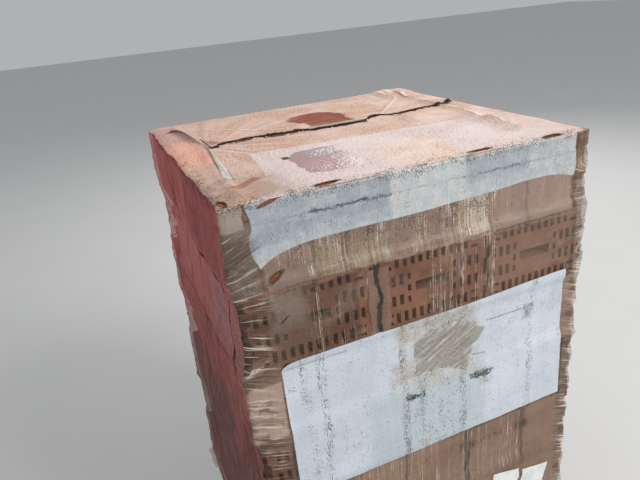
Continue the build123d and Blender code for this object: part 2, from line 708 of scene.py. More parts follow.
@dataclass(frozen=True)
class ScrapFinish:
    """Loose clear film: cream where it is creased, see-through between.

    The contrast says how far the colours of the creases stand apart.
    """

    haze: Colour = srgb(200, 190, 174)
    crease: Colour = srgb(228, 222, 208)
    shade: Colour = srgb(120, 112, 100)
    contrast: float = 1.0

    def material(
        self, name: str, effects: Effects, alphas: Pair, across: Triple, turn: float = 0.0
    ) -> Material:
        """The material of one scrap.

        Args:
            name: The material's name.
            effects: Shared node groups.
            alphas: Alpha between the creases and on them.
            across: How finely the creases repeat along, across and through the film.
            turn: Angle of the creases.

        Returns:
            The material.
        """
        g = Surface(name, effects)
        uv = g.add("UVMap", {}, uv_map="scrap_metres")
        turned = [g.stretch(uv, (1.0, 1.0, 1.0), way) for way in (turn, -1.3 * turn)]
        first, other = (g.noise(g.stretch(vector, across), 1.0, 3.0, 0.6, 0.3) for vector in turned)
        line = first | (other - 0.10)
        fine = g.noise(uv, 90.0, 3.0, 0.6)
        # Painted shade between the creases
        coat = Coat(g, g.mix(line.step(0.48, 0.36) * self.contrast, self.haze, self.shade))
        clear = g.noise(uv, 26.0, 2.0).step(0.36, 0.60, self.contrast * 0.4, min(1.0, self.contrast * 1.4))
        coat.paint(self.crease, line.step(0.54, 0.70), clear)
        alpha = g.math("ADD", line.step(0.40, 0.62, *alphas), fine.step(0.5, 0.7, 0.0, 0.15), clamp=True)
        looks = {"Base Color": coat.colour, "Alpha": alpha, "Roughness": fine.step(0.3, 0.7, 0.12, 0.4)}
        return g.finish(looks, line + fine * 0.4, 0.0016)


@dataclass(frozen=True)
class LabelFinish:
    """Blank paper labels under rain marks."""

    paper: Colour = srgb(226, 230, 228)
    grime: Colour = srgb(150, 156, 146)

    def material(self, name: str, effects: Effects) -> Material:
        """The material of the labels.

        Args:
            name: The material's name.
            effects: Shared node groups.

        Returns:
            The material.
        """
        g = Surface(name, effects)
        place = g.place()
        cloud = g.noise(place, 26.0, 3.0)
        coat = Coat(g, g.mix(cloud.step(0.4, 0.75, 0.0, 0.35), self.paper, self.grime))
        coat.paint(self.grime, g.specks(place, 260.0, 0.30), 0.55)
        return g.finish({"Base Color": coat.colour, "Roughness": 0.6}, cloud, 0.0008)


@dataclass(frozen=True)
class CrumbFinish:
    """Crumbs of broken clay."""

    clay: Colour = srgb(158, 104, 76)
    dust: Colour = srgb(214, 196, 180)

    def material(self, name: str, effects: Effects) -> Material:
        """The material of the crumbs.

        Args:
            name: The material's name.
            effects: Shared node groups.

        Returns:
            The material.
        """
        g = Surface(name, effects)
        tone = g.noise(g.place(), 30.0, 2.0).step(0.42, 0.6)
        return g.finish({"Base Color": g.mix(tone, self.clay, self.dust), "Roughness": 0.9})


# The load and its film

class Side(Enum):
    """Sides of the load, in the order in which the film goes round it."""

    FRONT = 0
    RIGHT = 1
    BACK = 2
    LEFT = 3

    def beside(self, steps: int) -> "Side":
        """The side that comes some steps later round the load."""
        return Side((self.value + steps) % len(Side))


class Zone(Enum):
    """Stretches of the hood that have a finish of their own, in the order of its material slots."""

    TOP = 0
    FRONT_HIGH = 1
    FRONT_LOW = 2
    LEFT = 3
    PLAIN = 4

    def shows(self, top: float, foot: float) -> bool:
        """Tell whether marks on the front reach into this zone.

        Args:
            top: Depth at which they start.
            foot: Depth at which they end.

        Returns:
            Whether they do.
        """
        margin = 0.05
        start, end = (0.0, FRONT_SPLIT) if self is Zone.FRONT_HIGH else (FRONT_SPLIT, math.inf)
        return top - margin < end and foot + margin > start


@dataclass(frozen=True)
class Tear:
    """A hole torn in the film: its side, or None for the top, its middle, half sizes and turn."""

    side: Side | None
    middle: Pair
    half: Pair
    turn: float


@dataclass
class Load:
    """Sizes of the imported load, taken from the frame."""

    low: Vector = field(default_factory=lambda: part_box("brick_layer_1")[0])
    high: Vector = field(default_factory=lambda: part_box("brick_layer_8")[1])
    film_low: Vector = field(default_factory=lambda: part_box("shrink_film")[0])
    film_high: Vector = field(default_factory=lambda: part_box("shrink_film")[1])
    layers: int = 8

    def __post_init__(self) -> None:
        """Note a layer's height and how far out each layer stands on each side."""
        self.layer_height = (self.high.z - self.low.z) / self.layers
        boxes = [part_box(f"brick_layer_{number}") for number in range(1, self.layers + 1)]
        self.reaches = {
            Side.FRONT: [-low.y for low, _ in boxes], Side.RIGHT: [high.x for _, high in boxes],
            Side.BACK: [high.y for _, high in boxes], Side.LEFT: [-low.x for low, _ in boxes],
        }


class Folds:
    """Folds gathered over one side: their relief, their crests and where they lie."""

    def __init__(self, relief: Array) -> None:
        """Start with the film's gentle waves."""
        self.relief = relief
        self.crest = self.zone = np.zeros_like(relief)

    def add(self, zone: Array, height: Array, crest: Array) -> None:
        """Add folds.

        Args:
            zone: A mask of where they lie.
            height: How far they stand out, in metres.
            crest: How near each place is to a crest.
        """
        self.relief = self.relief + zone * height
        self.crest = np.maximum(self.crest, zone * crest)
        self.zone = np.maximum(self.zone, zone)


@dataclass
class FilmHood:
    """The shrunk film: one sheet over the top and down the four sides, open below."""

    load: Load
    cells_a_side: int = 98
    row_pitch: float = 0.0102
    edge_rows: int = 5
    edge_pitch: float = 0.0042
    clearance: float = 0.0016
    edge_round: float = 0.006
    corner_in: float = 0.0028
    weld: float = 0.0004
    flat: Pair = (4.0, 2.06)
    slit: Line = (
        (-0.376, 0.036), (-0.356, 0.042), (-0.328, 0.064), (-0.285, 0.068), (-0.247, 0.070), (-0.215, 0.062),
        (-0.180, 0.060), (-0.138, 0.054), (-0.098, 0.060), (-0.056, 0.034), (0.011, 0.030), (0.085, 0.032),
        (0.120, 0.048), (0.172, 0.074), (0.205, 0.052), (0.260, 0.048), (0.336, 0.064), (0.385, 0.056),
        (0.420, 0.074), (0.452, 0.100),
    )
    slit_level: float = 0.054
    notch: Pair = (-0.372, 0.07)
    tears: tuple[Tear, ...] = (
        Tear(Side.FRONT, (-0.383, 0.176), (0.018, 0.0058), 0.42),
        Tear(Side.FRONT, (-0.372, 0.006), (0.020, 0.0034), 0.30),
        Tear(Side.FRONT, (-0.378, 0.280), (0.011, 0.0018), 0.60),
        Tear(None, (-0.238, -0.461), (0.025, 0.0062), 0.1),
        Tear(None, (0.157, -0.459), (0.026, 0.0064), 0.0),
        Tear(None, (0.366, -0.468), (0.024, 0.0056), 0.0),
        Tear(None, (-0.467, -0.452), (0.006, 0.016), 0.15),
    )

    def __post_init__(self) -> None:
        """Work out the sheet's own sizes, and the row of points where the top parts at the slit."""
        self.half = self.load.film_high.x - self.clearance
        self.width = 2 * self.half
        self.top = self.load.high.z + self.clearance
        self.depth = self.top - self.load.film_low.z
        self.split_row = round((self.slit_level / self.width + 0.5) * self.cells_a_side)
        self.split_level = (self.split_row / self.cells_a_side - 0.5) * self.width

    def ledge_profile(self, side: Side, depth: Array) -> Array:
        """How far out the film stands on a side, smoothed over the steps between the layers.

        Args:
            side: The side.
            depth: Depths below the top.

        Returns:
            The distance from the middle of the load at each depth.
        """
        margin, pitch, near, far, tented = 0.1, 0.002, 7, 62, 0.55
        fine = np.arange(-margin, self.depth + margin, pitch)
        layers, layer_height = self.load.layers, self.load.layer_height
        level = np.clip(fine / layer_height, 0, layers - 0.001)
        reach = np.array([self.load.reaches[side][layers - 1 - int(number)] for number in level])
        foot = fine > layer_height * layers
        reach = np.where(foot, reach - fade(fine, self.depth - 0.02, self.depth + 0.02) * 0.014, reach)

        def bridged(steps: int) -> Array:
            """The farthest reach within some steps to either side."""
            rows = range(len(reach))
            return np.array([reach[max(0, row - steps):row + steps + 1].max() for row in rows])

        drawn = bridged(near)
        if side in (Side.LEFT, Side.BACK):
            drawn = drawn + (bridged(far) - drawn) * np.where(foot, 0.0, tented)
        kernel = np.hanning(19)[1:-1] / np.hanning(19).sum()
        smooth = np.convolve(np.pad(drawn, 8, mode="edge"), kernel, "valid")
        return np.interp(depth, fine, smooth[:len(fine)]) + self.clearance

    def side_folds(self, side: Side, along: Array, depth: Array) -> tuple[Array, Array]:
        """Folds and waves of one side.

        Args:
            side: The side.
            along: Distance from the side's left end, seen from outside.
            depth: Distance below the top.

        Returns:
            The extra distance outward, and how near each place is to a fold's crest.
        """
        x = along - self.half
        seed = 10 * side.value
        from_left, from_right = along, self.width - along
        waves = 0.0016 * (1 + value_noise(along * 7, depth * 5, seed + 1))
        folds = Folds(waves + 0.0008 * (1 + value_noise(along * 30, depth * 9, seed + 2)))
        slope = 0.5 if side is Side.FRONT else 0.25
        at_left = (
            fade(from_left, 0.135, 0.02) * fade(depth, 0.05, 0.09), 0.0030,
            ridges(along * 5 + 3, (depth + slope * from_left) * 62, seed + 3),
            ridges(along * 4 + 7, (depth + slope * from_left) * 30, seed + 4),
        )
        at_right = (
            fade(from_right, 0.075, 0.01), 0.0034,
            ridges(along * 6 + 11, (depth - 0.12 * from_right) * 70, seed + 5),
            ridges(along * 5 + 17, (depth - 0.1 * from_right) * 33, seed + 6),
        )
        for zone, wide_height, tight, wide in (at_left, at_right):
            height = 0.0030 * np.clip(tight, 0, 1) + wide_height * np.clip(wide, 0, 1)
            folds.add(zone, height, np.clip(0.55 * tight + 0.55 * wide, 0.001, 1))
        if side is Side.FRONT:
            crumple = blob(x, depth, (-0.47, -0.41, 0.44, 0.58), 0.03)
            broad, small = crests(x * 22 + 2, depth * 26, 71), crests(x * 60 + 2, depth * 60, 72)
            folds.add(crumple, 0.0065 * broad + 0.003 * small, 0.5 * broad + 0.5 * small)
            joints = sum(hump(x - joint, 0.004) for joint in BLOCK_JOINTS)
            folds.relief += 0.0012 * joints * fade(depth, 0.19, 0.17)
            gap = hump(x + 0.143 + 0.006 * np.sin(depth * 90), 0.011)
            folds.relief -= 0.003 * gap * blob(x, depth, (-0.2, -0.1, 0.21, 0.385), 0.02)
        elif side is Side.LEFT:
            long_fold = crests((along + 0.22 * depth) * 11, depth * 1.3 + 4, 81)
            folds.relief += 0.0045 * long_fold * fade(from_right, 0.03, 0.12)
            ripple = crests((depth - along * 0.9) * 75, along * 4, 82)
            folds.add(fade(from_right, 0.16, 0.09) * fade(depth, 0.16, 0.24), 0.0022 * ripple, 0.8 * ripple)
        else:
            long_fold = crests((along - 0.15 * depth) * 10, depth * 1.6 + 4, 83 + seed)
            folds.relief += 0.0035 * long_fold * fade(from_right, 0.03, 0.12) * fade(from_left, 0.03, 0.12)
        return np.maximum(folds.relief, -0.001), folds.crest + 0.5 * (1 - folds.zone)

    def reach(self, side: Side, along: Array, depth: Array) -> Array:
        """How far out the film stands, with its folds."""
        return self.ledge_profile(side, depth) + self.side_folds(side, along, depth)[0]

    def scallops(self, depth: Array) -> Array:
        """Waves of the film over the tongues and between blocks, down the right front edge.

        Args:
            depth: Depths below the top.

        Returns:
            How far out they stand.
        """
        phase = np.mod(depth, self.load.layer_height) / self.load.layer_height
        teeth = 0.5 + 0.5 * np.cos(2 * np.pi * (phase * 2.5))
        return 0.0055 * teeth + 0.004 * value_noise(depth * 21, depth * 0, 91) - 0.008

    def side_points(self, side: Side, share: Array, depth: Array) -> tuple[Array, Array]:
        """Places of one side's points.

        Args:
            side: The side.
            share: From 0 at its left end to 1 at its right end, seen from outside.
            depth: Distance below the top.

        Returns:
            One place for each point, and how far along the side it is from the side's middle.
        """
        outward = self.reach(side, share * self.width, depth) - 0.004 * fade(depth, self.edge_round, 0)
        left_end = self.reach(side.beside(-1), np.full_like(depth, self.width), depth)
        right_end = self.reach(side.beside(1), np.zeros_like(depth), depth)
        if side is Side.FRONT:
            right_end = right_end + self.scallops(depth)
        if side is Side.RIGHT:
            outward = outward + self.scallops(depth) * fade(share, 0.08, 0.0)
        at_left, at_right = fade(share, 0.012, 0.0), fade(share, 0.988, 1.0)
        outward = outward - self.corner_in * (at_left + at_right)
        lateral = (left_end + right_end) * share - left_end + self.corner_in * (at_left - at_right)
        turn = side.value * math.pi / 2
        cos, sin = math.cos(turn), math.sin(turn)
        level = self.top - depth - 0.0022 * fade(depth, 0.004, 0)
        return np.stack([lateral * cos + outward * sin, lateral * sin - outward * cos, level], -1), lateral

    def front_points(self, x: Array, depth: Array) -> Array:
        """Places on the front."""
        return self.side_points(Side.FRONT, (x + self.half) / self.width, depth)[0]

    def slit_line(self, x: Array) -> Array:
        """Where the slit in the top lies, as y for each x."""
        return np.interp(x, *np.array(self.slit).T)

    def slit_gap(self, x: Array) -> Array:
        """How wide the slit gapes.

        Args:
            x: Places along it.

        Returns:
            Its width at each place.
        """
        start, end = self.slit[0][0], self.slit[-1][0]
        ends = fade(x, start - 0.004, start + 0.02) * fade(x, end + 0.004, end - 0.03)
        return ends * 0.0075 * (0.6 + 0.4 * value_noise(x * 95, x * 0, 31))

    def top_relief(self, x: Array, y: Array) -> Array:
        """Tenting, folds and dents of the top, upward in metres.

        Args:
            x: Place across the load.
            y: Place along the load.

        Returns:
            The height at each point, 0 at the rim.
        """
        rim = fade(self.half - np.abs(x), 0.0, 0.03) * fade(self.half - np.abs(y), 0.0, 0.03)
        relief = 0.0012 * (1 + value_noise(x * 6 + 9, y * 6, 41))
        relief += 0.0007 * (1 + value_noise(x * 22, y * 22, 42))
        # Folds that fan out from the notch at the slit's left end
        out_x, out_y = x - self.notch[0], y - self.notch[1]
        away = np.hypot(out_x, out_y)
        rays = crests(np.arctan2(out_y, out_x) * 5.2, away * 2.5, 43) * fade(away, 0.0, 0.05)
        behind = fade(y, 0.05, 0.10)
        relief += 0.0045 * rays * fade(away, 0.6, 0.15) * behind
        relief += 0.0022 * rays * fade(away, 0.4, 0.1) * (1 - behind)
        # Folds from the right, and the long fold, tent and crumple there
        right_rays = crests(np.arctan2(y + 0.5, x - 0.62) * 9, x * 2, 44)
        relief += 0.003 * right_rays * fade(x, 0.12, 0.3) * fade(y, 0.1, 0.0)
        fold = hump(x - (0.384 + 0.010 * np.sin(y * 7)), 0.011)
        relief += 0.0075 * fold * fade(y, -0.36, -0.22) * fade(y, 0.47, 0.40)
        tent = blob(x, y, (0.36, 0.44, 0.33, 0.42), 0.05)
        relief += 0.012 * tent * np.clip(0.4 + ridges(x * 13, y * 13, 45), 0, 1)
        relief += 0.006 * blob(x, y, (0.36, 0.44, -0.34, -0.22), 0.05) * crests(x * 20, y * 26, 46)
        # Ridge under the strand
        ribbon = -0.392 - 0.03 * fade(y, 0.1, -0.3) - 0.02 * fade(y, 0.1, 0.42)
        relief += 0.006 * hump(x - ribbon, 0.012) * fade(np.abs(y), 0.45, 0.40)
        # Lips of the slit
        line = self.slit_line(x)
        inside = fade(x, -0.40, -0.34) * fade(x, 0.47, 0.41)
        behind_lip = np.where(y >= line, fade(y - line, 0.05, 0.0), 0)
        before_lip = np.where(y < line, fade(line - y, 0.02, 0.0), 0)
        flutter = 0.65 + 0.35 * value_noise(x * 26, x * 0, 47)
        relief += inside * (0.0058 * behind_lip * flutter + 0.0010 * before_lip)
        relief += 0.009 * fade(x, 0.40, 0.455) * behind_lip * fade(x, 0.49, 0.46)
        # Joints between the blocks
        relief -= 0.0012 * sum(hump(y - joint, 0.006) for joint in ROW_JOINTS)
        relief -= 0.0012 * sum(hump(x - joint, 0.006) for joint in BLOCK_JOINTS)
        return np.maximum(relief, 0) * rim

    def top_points(self, x: Array, y: Array, upper: bool) -> Array:
        """Places of the top's points.

        Args:
            x: Place of each point across the flat top.
            y: Place of each point along it.
            upper: Whether the points lie behind the slit, not before it.

        Returns:
            The places, drawn to the slit's line and parted there.
        """
        line = self.slit_line(x)
        near = fade(np.abs(y - self.split_level), 0.16, 0.0)
        y = y + (line - self.split_level) * near * fade(x, -0.47, -0.39) * fade(x, 0.478, 0.455)
        gap = self.slit_gap(x) * fade(np.abs(y - line), 0.02, 0.0)
        y = y + (0.5 if upper else -0.5) * gap
        return np.stack([x, y, self.top + self.top_relief(x, y)], -1)

    def build(self) -> Piece:
        """Make the mesh, with its flat coordinates, its folds' crests and its zones.

        Returns:
            The hood.
        """
        cells = self.cells_a_side
        start = self.edge_rows * self.edge_pitch
        count = round((self.depth - start) / self.row_pitch)
        rows = [k * self.edge_pitch for k in range(self.edge_rows)]
        rows += [start + (self.depth - start) * k / count for k in range(count + 1)]
        share = np.linspace(0, 1, cells + 1)
        points, faces, flats, folds, borders = [], [], [], [], {}

        def gather(places: Array, u: Array, v: Array, fold: Array) -> Faces:
            """Note a grid's points.

            Args:
                places: Points by row and column.
                u: First flat coordinate of each point.
                v: Second flat coordinate.
                fold: How near each point is to a fold's crest.

            Returns:
                The faces over the grid.
            """
            squares = grid_faces(*places.shape[:2], first=sum(map(len, points)))
            points.append(places.reshape(-1, 3))
            flats.append(np.stack([u, v], -1).reshape(-1, 2))
            folds.append(fold.ravel())
            return squares

        for side in Side:
            across, depth = np.meshgrid(share, rows)
            places, lateral = self.side_points(side, across, depth)
            borders[side] = places[0]
            u = side.value * (self.width + SIDE_GAP) + lateral + self.half
            squares = gather(places, u, -depth, self.side_folds(side, across * self.width, depth)[1])
            faces += [(square[0], *square[:0:-1]) for square in squares]
        for upper in (False, True):
            lines = np.arange(cells + 1)[self.split_row:] if upper else np.arange(self.split_row + 1)
            across, along = np.meshgrid(share, share[lines])
            places = self.top_points((across - 0.5) * self.width, (along - 0.5) * self.width, upper)
            places[:, 0], places[:, -1] = borders[Side.LEFT][::-1][lines], borders[Side.RIGHT][lines]
            if upper:
                places[-1] = borders[Side.BACK][::-1]
            else:
                places[0] = borders[Side.FRONT]
            v = along * self.width + 0.0001
            faces += gather(places, across * self.width, v, np.full(across.shape, 0.5))
        flat = np.concatenate(flats)
        piece = new_mesh("film_hood", np.concatenate(points), faces)
        piece.data.polygons.foreach_set("material_index", self.zones(flat[np.array(faces)].mean(1)))
        add_flat_map(piece, "film_metres", flat)
        mark = piece.data.attributes.new("fold", "FLOAT", "POINT")
        mark.data.foreach_set("value", np.concatenate(folds).astype(np.float32))
        self.join_doubles(piece)
        return piece

    def zones(self, middles: Array) -> Array:
        """Tell in which zone each face lies.

        Args:
            middles: Flat places of the faces' middles.

        Returns:
            The zones' numbers.
        """
        u, v = middles.T
        front = u < self.width + SIDE_GAP / 2
        zone = np.full(len(middles), Zone.PLAIN.value)
        zone[u > 3 * self.width + 2.5 * SIDE_GAP] = Zone.LEFT.value
        zone[front & (v < 0)] = Zone.FRONT_HIGH.value
        zone[front & (v < -FRONT_SPLIT)] = Zone.FRONT_LOW.value
        zone[v > 0] = Zone.TOP.value
        return zone.astype(np.int32)

    def join_doubles(self, piece: Piece) -> None:
        """Join the doubled points of edges and of the slit's closed ends.

        Args:
            piece: The hood.
        """
        work = bmesh.new()
        work.from_mesh(piece.data)
        bmesh.ops.remove_doubles(work, verts=work.verts, dist=self.weld)
        work.to_mesh(piece.data)
        work.free()
        piece.data.polygons.foreach_set("use_smooth", [True] * len(piece.data.polygons))
        piece.data.update()

    def tear_place(self, tear: Tear) -> Triple:
        """Find a tear on the load.

        Args:
            tear: The tear.

        Returns:
            The place of its middle.
        """
        if tear.side is None:
            return (*tear.middle, self.top)
        return tear.middle[0], -self.half, self.top - tear.middle[1]


# Scraps, labels and crumbs on the film

@dataclass
class TwistedStrand:
    """The strand of torn film on the top: flat at the back, twisted, then a fan toward the front."""

    hood: FilmHood
    path: Line = (
        (-0.448, 0.352), (-0.425, 0.362), (-0.408, 0.320), (-0.400, 0.252), (-0.395, 0.130), (-0.386, 0.057),
        (-0.385, -0.004), (-0.392, -0.106), (-0.400, -0.210), (-0.407, -0.300),
    )
    widths: tuple[float, ...] = (0.014, 0.020, 0.022, 0.018, 0.010, 0.007, 0.010, 0.016, 0.024, 0.030)
    turns: tuple[float, ...] = (0.1, 0.2, 0.5, 0.9, 1.3, 1.5, 1.2, 0.6, 0.3, 0.1)
    heights: tuple[float, ...] = (0.004, 0.007, 0.010, 0.011, 0.010, 0.009, 0.009, 0.008, 0.006, 0.003)
    rows: int = 90
    columns: int = 12
    flat: Pair = (0.020, 0.70)

    def build(self) -> Piece:
        """Make the mesh along the path.

        Returns:
            The strand.
        """
        at = np.linspace(0, len(self.path) - 1, self.rows)
        tables = (*np.array(self.path).T, self.widths, self.turns, self.heights)
        x, y, width, turn, height = (np.interp(at, np.arange(len(self.path)), table) for table in tables)
        middle = np.stack([x, y], -1)
        for _ in range(6):
            middle[1:-1] = (middle[:-2] + 2 * middle[1:-1] + middle[2:]) / 4
        ahead = np.gradient(middle, axis=0)
        ahead /= np.linalg.norm(ahead, axis=1)[:, None]
        share = np.linspace(-0.5, 0.5, self.columns)[None, :]
        out = share * width[:, None]
        flat_part, upright = out * np.cos(turn[:, None]), out * np.sin(turn[:, None])
        x = middle[:, :1] + ahead[:, 1:] * flat_part
        y = middle[:, 1:] - ahead[:, :1] * flat_part
        pleat = 0.0012 * np.sin(share * 26 + at[:, None] * 0.8) * (width[:, None] / 0.04)
        relief = self.hood.top_relief(x, y) + 0.0008
        z = self.hood.top + np.maximum(relief, height[:, None] + upright + pleat)
        length = np.concatenate([[0], np.cumsum(np.linalg.norm(np.diff(middle, axis=0), axis=1))])
        along = np.repeat(length[:, None], self.columns, 1)
        return grid_piece("film_strand", np.stack([x, y, z], -1), along, out)


@dataclass
class ClearPatch:
    """The crumpled patch of clear film stuck on the front panel. Places are x and depth."""

    hood: FilmHood
    middle: Pair = (0.062, 0.500)
    outline: Line = (
        (0.165, 0.478), (0.135, 0.520), (0.122, 0.556), (0.118, 0.582), (0.098, 0.578), (0.060, 0.560),
        (0.000, 0.548), (-0.048, 0.556), (-0.020, 0.512), (-0.046, 0.478), (-0.012, 0.442), (0.040, 0.434),
        (0.085, 0.428), (0.125, 0.448),
    )
    rings: int = 18
    spokes: int = 84
    flat: Pair = (0.21, 0.155)

    def build(self) -> Piece:
        """Make the mesh from its middle outward.

        Returns:
            The patch.
        """
        corners = np.array(self.outline) - np.array(self.middle)
        angles = np.arctan2(corners[:, 1], corners[:, 0])
        order = np.argsort(angles)
        spoke = np.linspace(-math.pi, math.pi, self.spokes, endpoint=False)
        reach = np.interp(spoke, angles[order], np.hypot(*corners.T)[order], period=2 * math.pi)
        reach = reach * (1 + 0.09 * value_noise(spoke * 9 + 20, spoke * 0, 51))
        ring = np.linspace(0.02, 1, self.rings)[:, None]
        x = self.middle[0] + ring * (reach * np.cos(spoke))[None, :]
        depth = self.middle[1] + ring * (reach * np.sin(spoke))[None, :]
        slanted = crests((x * 0.42 + depth) * 70, (x - depth) * 12, 52)
        small = crests(x * 70, depth * 70, 53)
        lift = 0.0012 + (0.0020 * slanted + 0.0014 * small) * fade(ring, 1.05, 0.7)
        lift += 0.006 * hump(x - 0.082, 0.030) * hump(depth - 0.440, 0.010)
        lift += 0.008 * hump(x - 0.108, 0.012) * hump(depth - 0.566, 0.014)
        places = self.hood.front_points(x, depth)
        places[..., 1] -= lift
        return grid_piece("clear_patch", places, x, -depth, closed=True)


@dataclass
class LooseFlap:
    """The flap of film that stands off the back left edge, low down."""

    hood: FilmHood
    top_depth: float = 1.350
    foot_depth: float = 1.470
    reach: float = 0.050
    flat: Pair = (0.05, 0.12)

    def build(self) -> Piece:
        """Make the mesh, bellied out below its fixed edge.

        Returns:
            The flap.
        """
        levels = np.linspace(self.top_depth, self.foot_depth, 16)
        depth, out = np.meshgrid(levels, np.linspace(0, 1, 9), indexing="ij")
        share = (depth - self.top_depth) / (self.foot_depth - self.top_depth)
        belly = np.sin(math.pi * np.clip(share, 0, 1)) ** 0.6
        bulge = np.sin(out * belly * 1.9) * (0.85 + 0.15 * value_noise(depth * 60, out * 3, 54))
        x = -(self.hood.ledge_profile(Side.LEFT, depth) + 0.0035) - 0.024 * bulge
        y = self.hood.half - 0.052 + self.reach * out * (0.5 + 0.5 * belly)
        return grid_piece("loose_flap", np.stack([x, y, self.hood.top - depth], -1), out * self.reach, -depth)


@dataclass
class Label:
    """A blank label stuck on the front, a little askew. Its corner is x and depth."""

    hood: FilmHood
    name: str
    corner: Pair
    turn: float
    size: Pair = (0.095, 0.138)
    lift: float = 0.0014

    def build(self) -> Piece:
        """Make the mesh on the film.

        Returns:
            The label.
        """
        across, down = np.meshgrid(np.linspace(0, self.size[0], 12), np.linspace(0, self.size[1], 16))
        cos, sin = math.cos(self.turn), math.sin(self.turn)
        x = self.corner[0] + across * cos - down * sin
        places = self.hood.front_points(x, self.corner[1] + across * sin + down * cos)
        places[..., 1] -= self.lift
        return grid_piece(self.name, places, across, -down)


@dataclass
class Crumbs:
    """Crumbs of clay that lie on the top, scattered by Geometry Nodes."""

    hood: FilmHood
    density: float = 190.0
    size: Pair = (0.0007, 0.0024)
    squash: Triple = (1.0, 0.72, 0.55)
    seed: int = 5

    def ground(self) -> Piece:
        """Make the part of the top that carries crumbs.

        Returns:
            That part as a piece.
        """
        steps = (np.linspace(0.03, 0.97, 61) - 0.5) * self.hood.width
        x, y = np.meshgrid(steps, steps)
        level = self.hood.top + self.hood.top_relief(x, y)
        piece = grid_piece("clay_crumbs", np.stack([x, y, level], -1), x, y)
        at_slit = np.abs(y - self.hood.slit_line(x)) <= 0.03
        work = bmesh.new()
        work.from_mesh(piece.data)
        gone = [vertex for vertex, near in zip(work.verts, at_slit.ravel()) if near]
        bmesh.ops.delete(work, geom=gone, context="VERTS")
        work.to_mesh(piece.data)
        work.free()
        return piece

    def tree(self, material: Material) -> Tree:
        """The nodes that scatter the crumbs.

        Args:
            material: The crumbs' material.

        Returns:
            The tree, with the crumbs' density, sizes and seed as inputs.
        """
        tree = bpy.data.node_groups.new("scatter_crumbs", "GeometryNodeTree")
        for label, kind in (
            ("Geometry", "Geometry"), ("Density", "Float"), ("Seed", "Int"), ("Smallest", "Float"),
            ("Largest", "Float"),
        ):
            tree.interface.new_socket(label, in_out="INPUT", socket_type="NodeSocket" + kind)
        tree.interface.new_socket("Geometry", in_out="OUTPUT", socket_type="NodeSocketGeometry")
        given, result, size, turn, squash = (tree.nodes.new(kind) for kind in (
            "NodeGroupInput", "NodeGroupOutput", "FunctionNodeRandomValue", "FunctionNodeRandomValue",
            "ShaderNodeVectorMath",
        ))
        scatter, crumb, lay, real, paint_on = (tree.nodes.new("GeometryNode" + kind) for kind in (
            "DistributePointsOnFaces", "MeshIcoSphere", "InstanceOnPoints", "RealizeInstances", "SetMaterial",
        ))
        turn.data_type, squash.operation = "FLOAT_VECTOR", "SCALE"
        for node, name, value in (
            (crumb, "Subdivisions", 1), (crumb, "Radius", 1.0), (turn, 1, (6.28, 6.28, 6.28)),
            (squash, 0, self.squash), (paint_on, "Material", material),
        ):
            node.inputs[name].default_value = value
        for start, output, end, entry in (
            (given, "Geometry", scatter, "Mesh"), (given, "Density", scatter, "Density"),
            (given, "Seed", scatter, "Seed"), (given, "Seed", size, "Seed"),
            (given, "Smallest", size, 2), (given, "Largest", size, 3),
            (scatter, "Points", lay, "Points"), (crumb, "Mesh", lay, "Instance"),
            (size, 1, squash, "Scale"), (squash, 0, lay, "Scale"), (turn, "Value", lay, "Rotation"),
            (lay, "Instances", real, "Geometry"), (real, "Geometry", paint_on, "Geometry"),
            (paint_on, "Geometry", result, "Geometry"),
        ):
            tree.links.new(start.outputs[output], end.inputs[entry])
        return tree

    def build(self, material: Material) -> Piece:
        """Scatter the crumbs and keep them as a plain mesh.

        Args:
            material: The crumbs' material.

        Returns:
            The crumbs.
        """
        piece = self.ground()
        modifier = piece.modifiers.new("crumbs", "NODES")
        modifier.node_group = self.tree(material)
        smallest, largest = self.size
        values = {"Density": self.density, "Seed": self.seed, "Smallest": smallest, "Largest": largest}
        for item in modifier.node_group.interface.items_tree:
            if item.in_out == "INPUT" and item.name in values:
                modifier[item.identifier] = values[item.name]
        mesh = bpy.data.meshes.new_from_object(piece.evaluated_get(bpy.context.evaluated_depsgraph_get()))
        piece.modifiers.clear()
        piece.data = mesh
        piece.data.materials.clear()
        piece.data.materials.append(material)
        return piece


@dataclass
class Scraps:
    """Loose and stuck things on the hood."""

    hood: FilmHood
    effects: Effects

    def lay(self, piece: Piece, material: Material, slot: str | None) -> None:
        """Give a piece its material and keep it."""
        piece.data.materials.append(material)
        keep(piece, slot)

    def build(self) -> None:
        """Make and keep each piece."""
        strand = TwistedStrand(self.hood)
        piece = strand.build()
        film = ScrapFinish().material("strand_film", self.effects, (0.80, 0.97), (5.0, 150.0, 1.0))
        self.lay(piece, film, "shrink_film")
        patch = ClearPatch(self.hood)
        piece = patch.build()
        finish = ScrapFinish(haze=srgb(164, 160, 152), shade=srgb(118, 108, 98), contrast=0.68)
        film = finish.material("patch_film", self.effects, (0.58, 0.84), (9.0, 120.0, 1.0), -0.5)
        self.lay(piece, film, "shrink_film")
        flap = LooseFlap(self.hood)
        piece = flap.build()
        finish = ScrapFinish(haze=srgb(190, 166, 158))
        film = finish.material("flap_film", self.effects, (0.60, 0.95), (60.0, 12.0, 1.0))
        self.lay(piece, film, "shrink_film")
        paper = LabelFinish().material("label_paper", self.effects)
        left = Label(self.hood, "label_left", (0.214, 1.003), 0.17)
        right = Label(self.hood, "label_right", (0.318, 1.030), 0.13)
        for label in (left, right):
            piece = label.build()
            self.lay(piece, paper, None)
        keep(Crumbs(self.hood).build(CrumbFinish().material("clay_crumb", self.effects)), "fired_clay")


# Floor, camera and lights

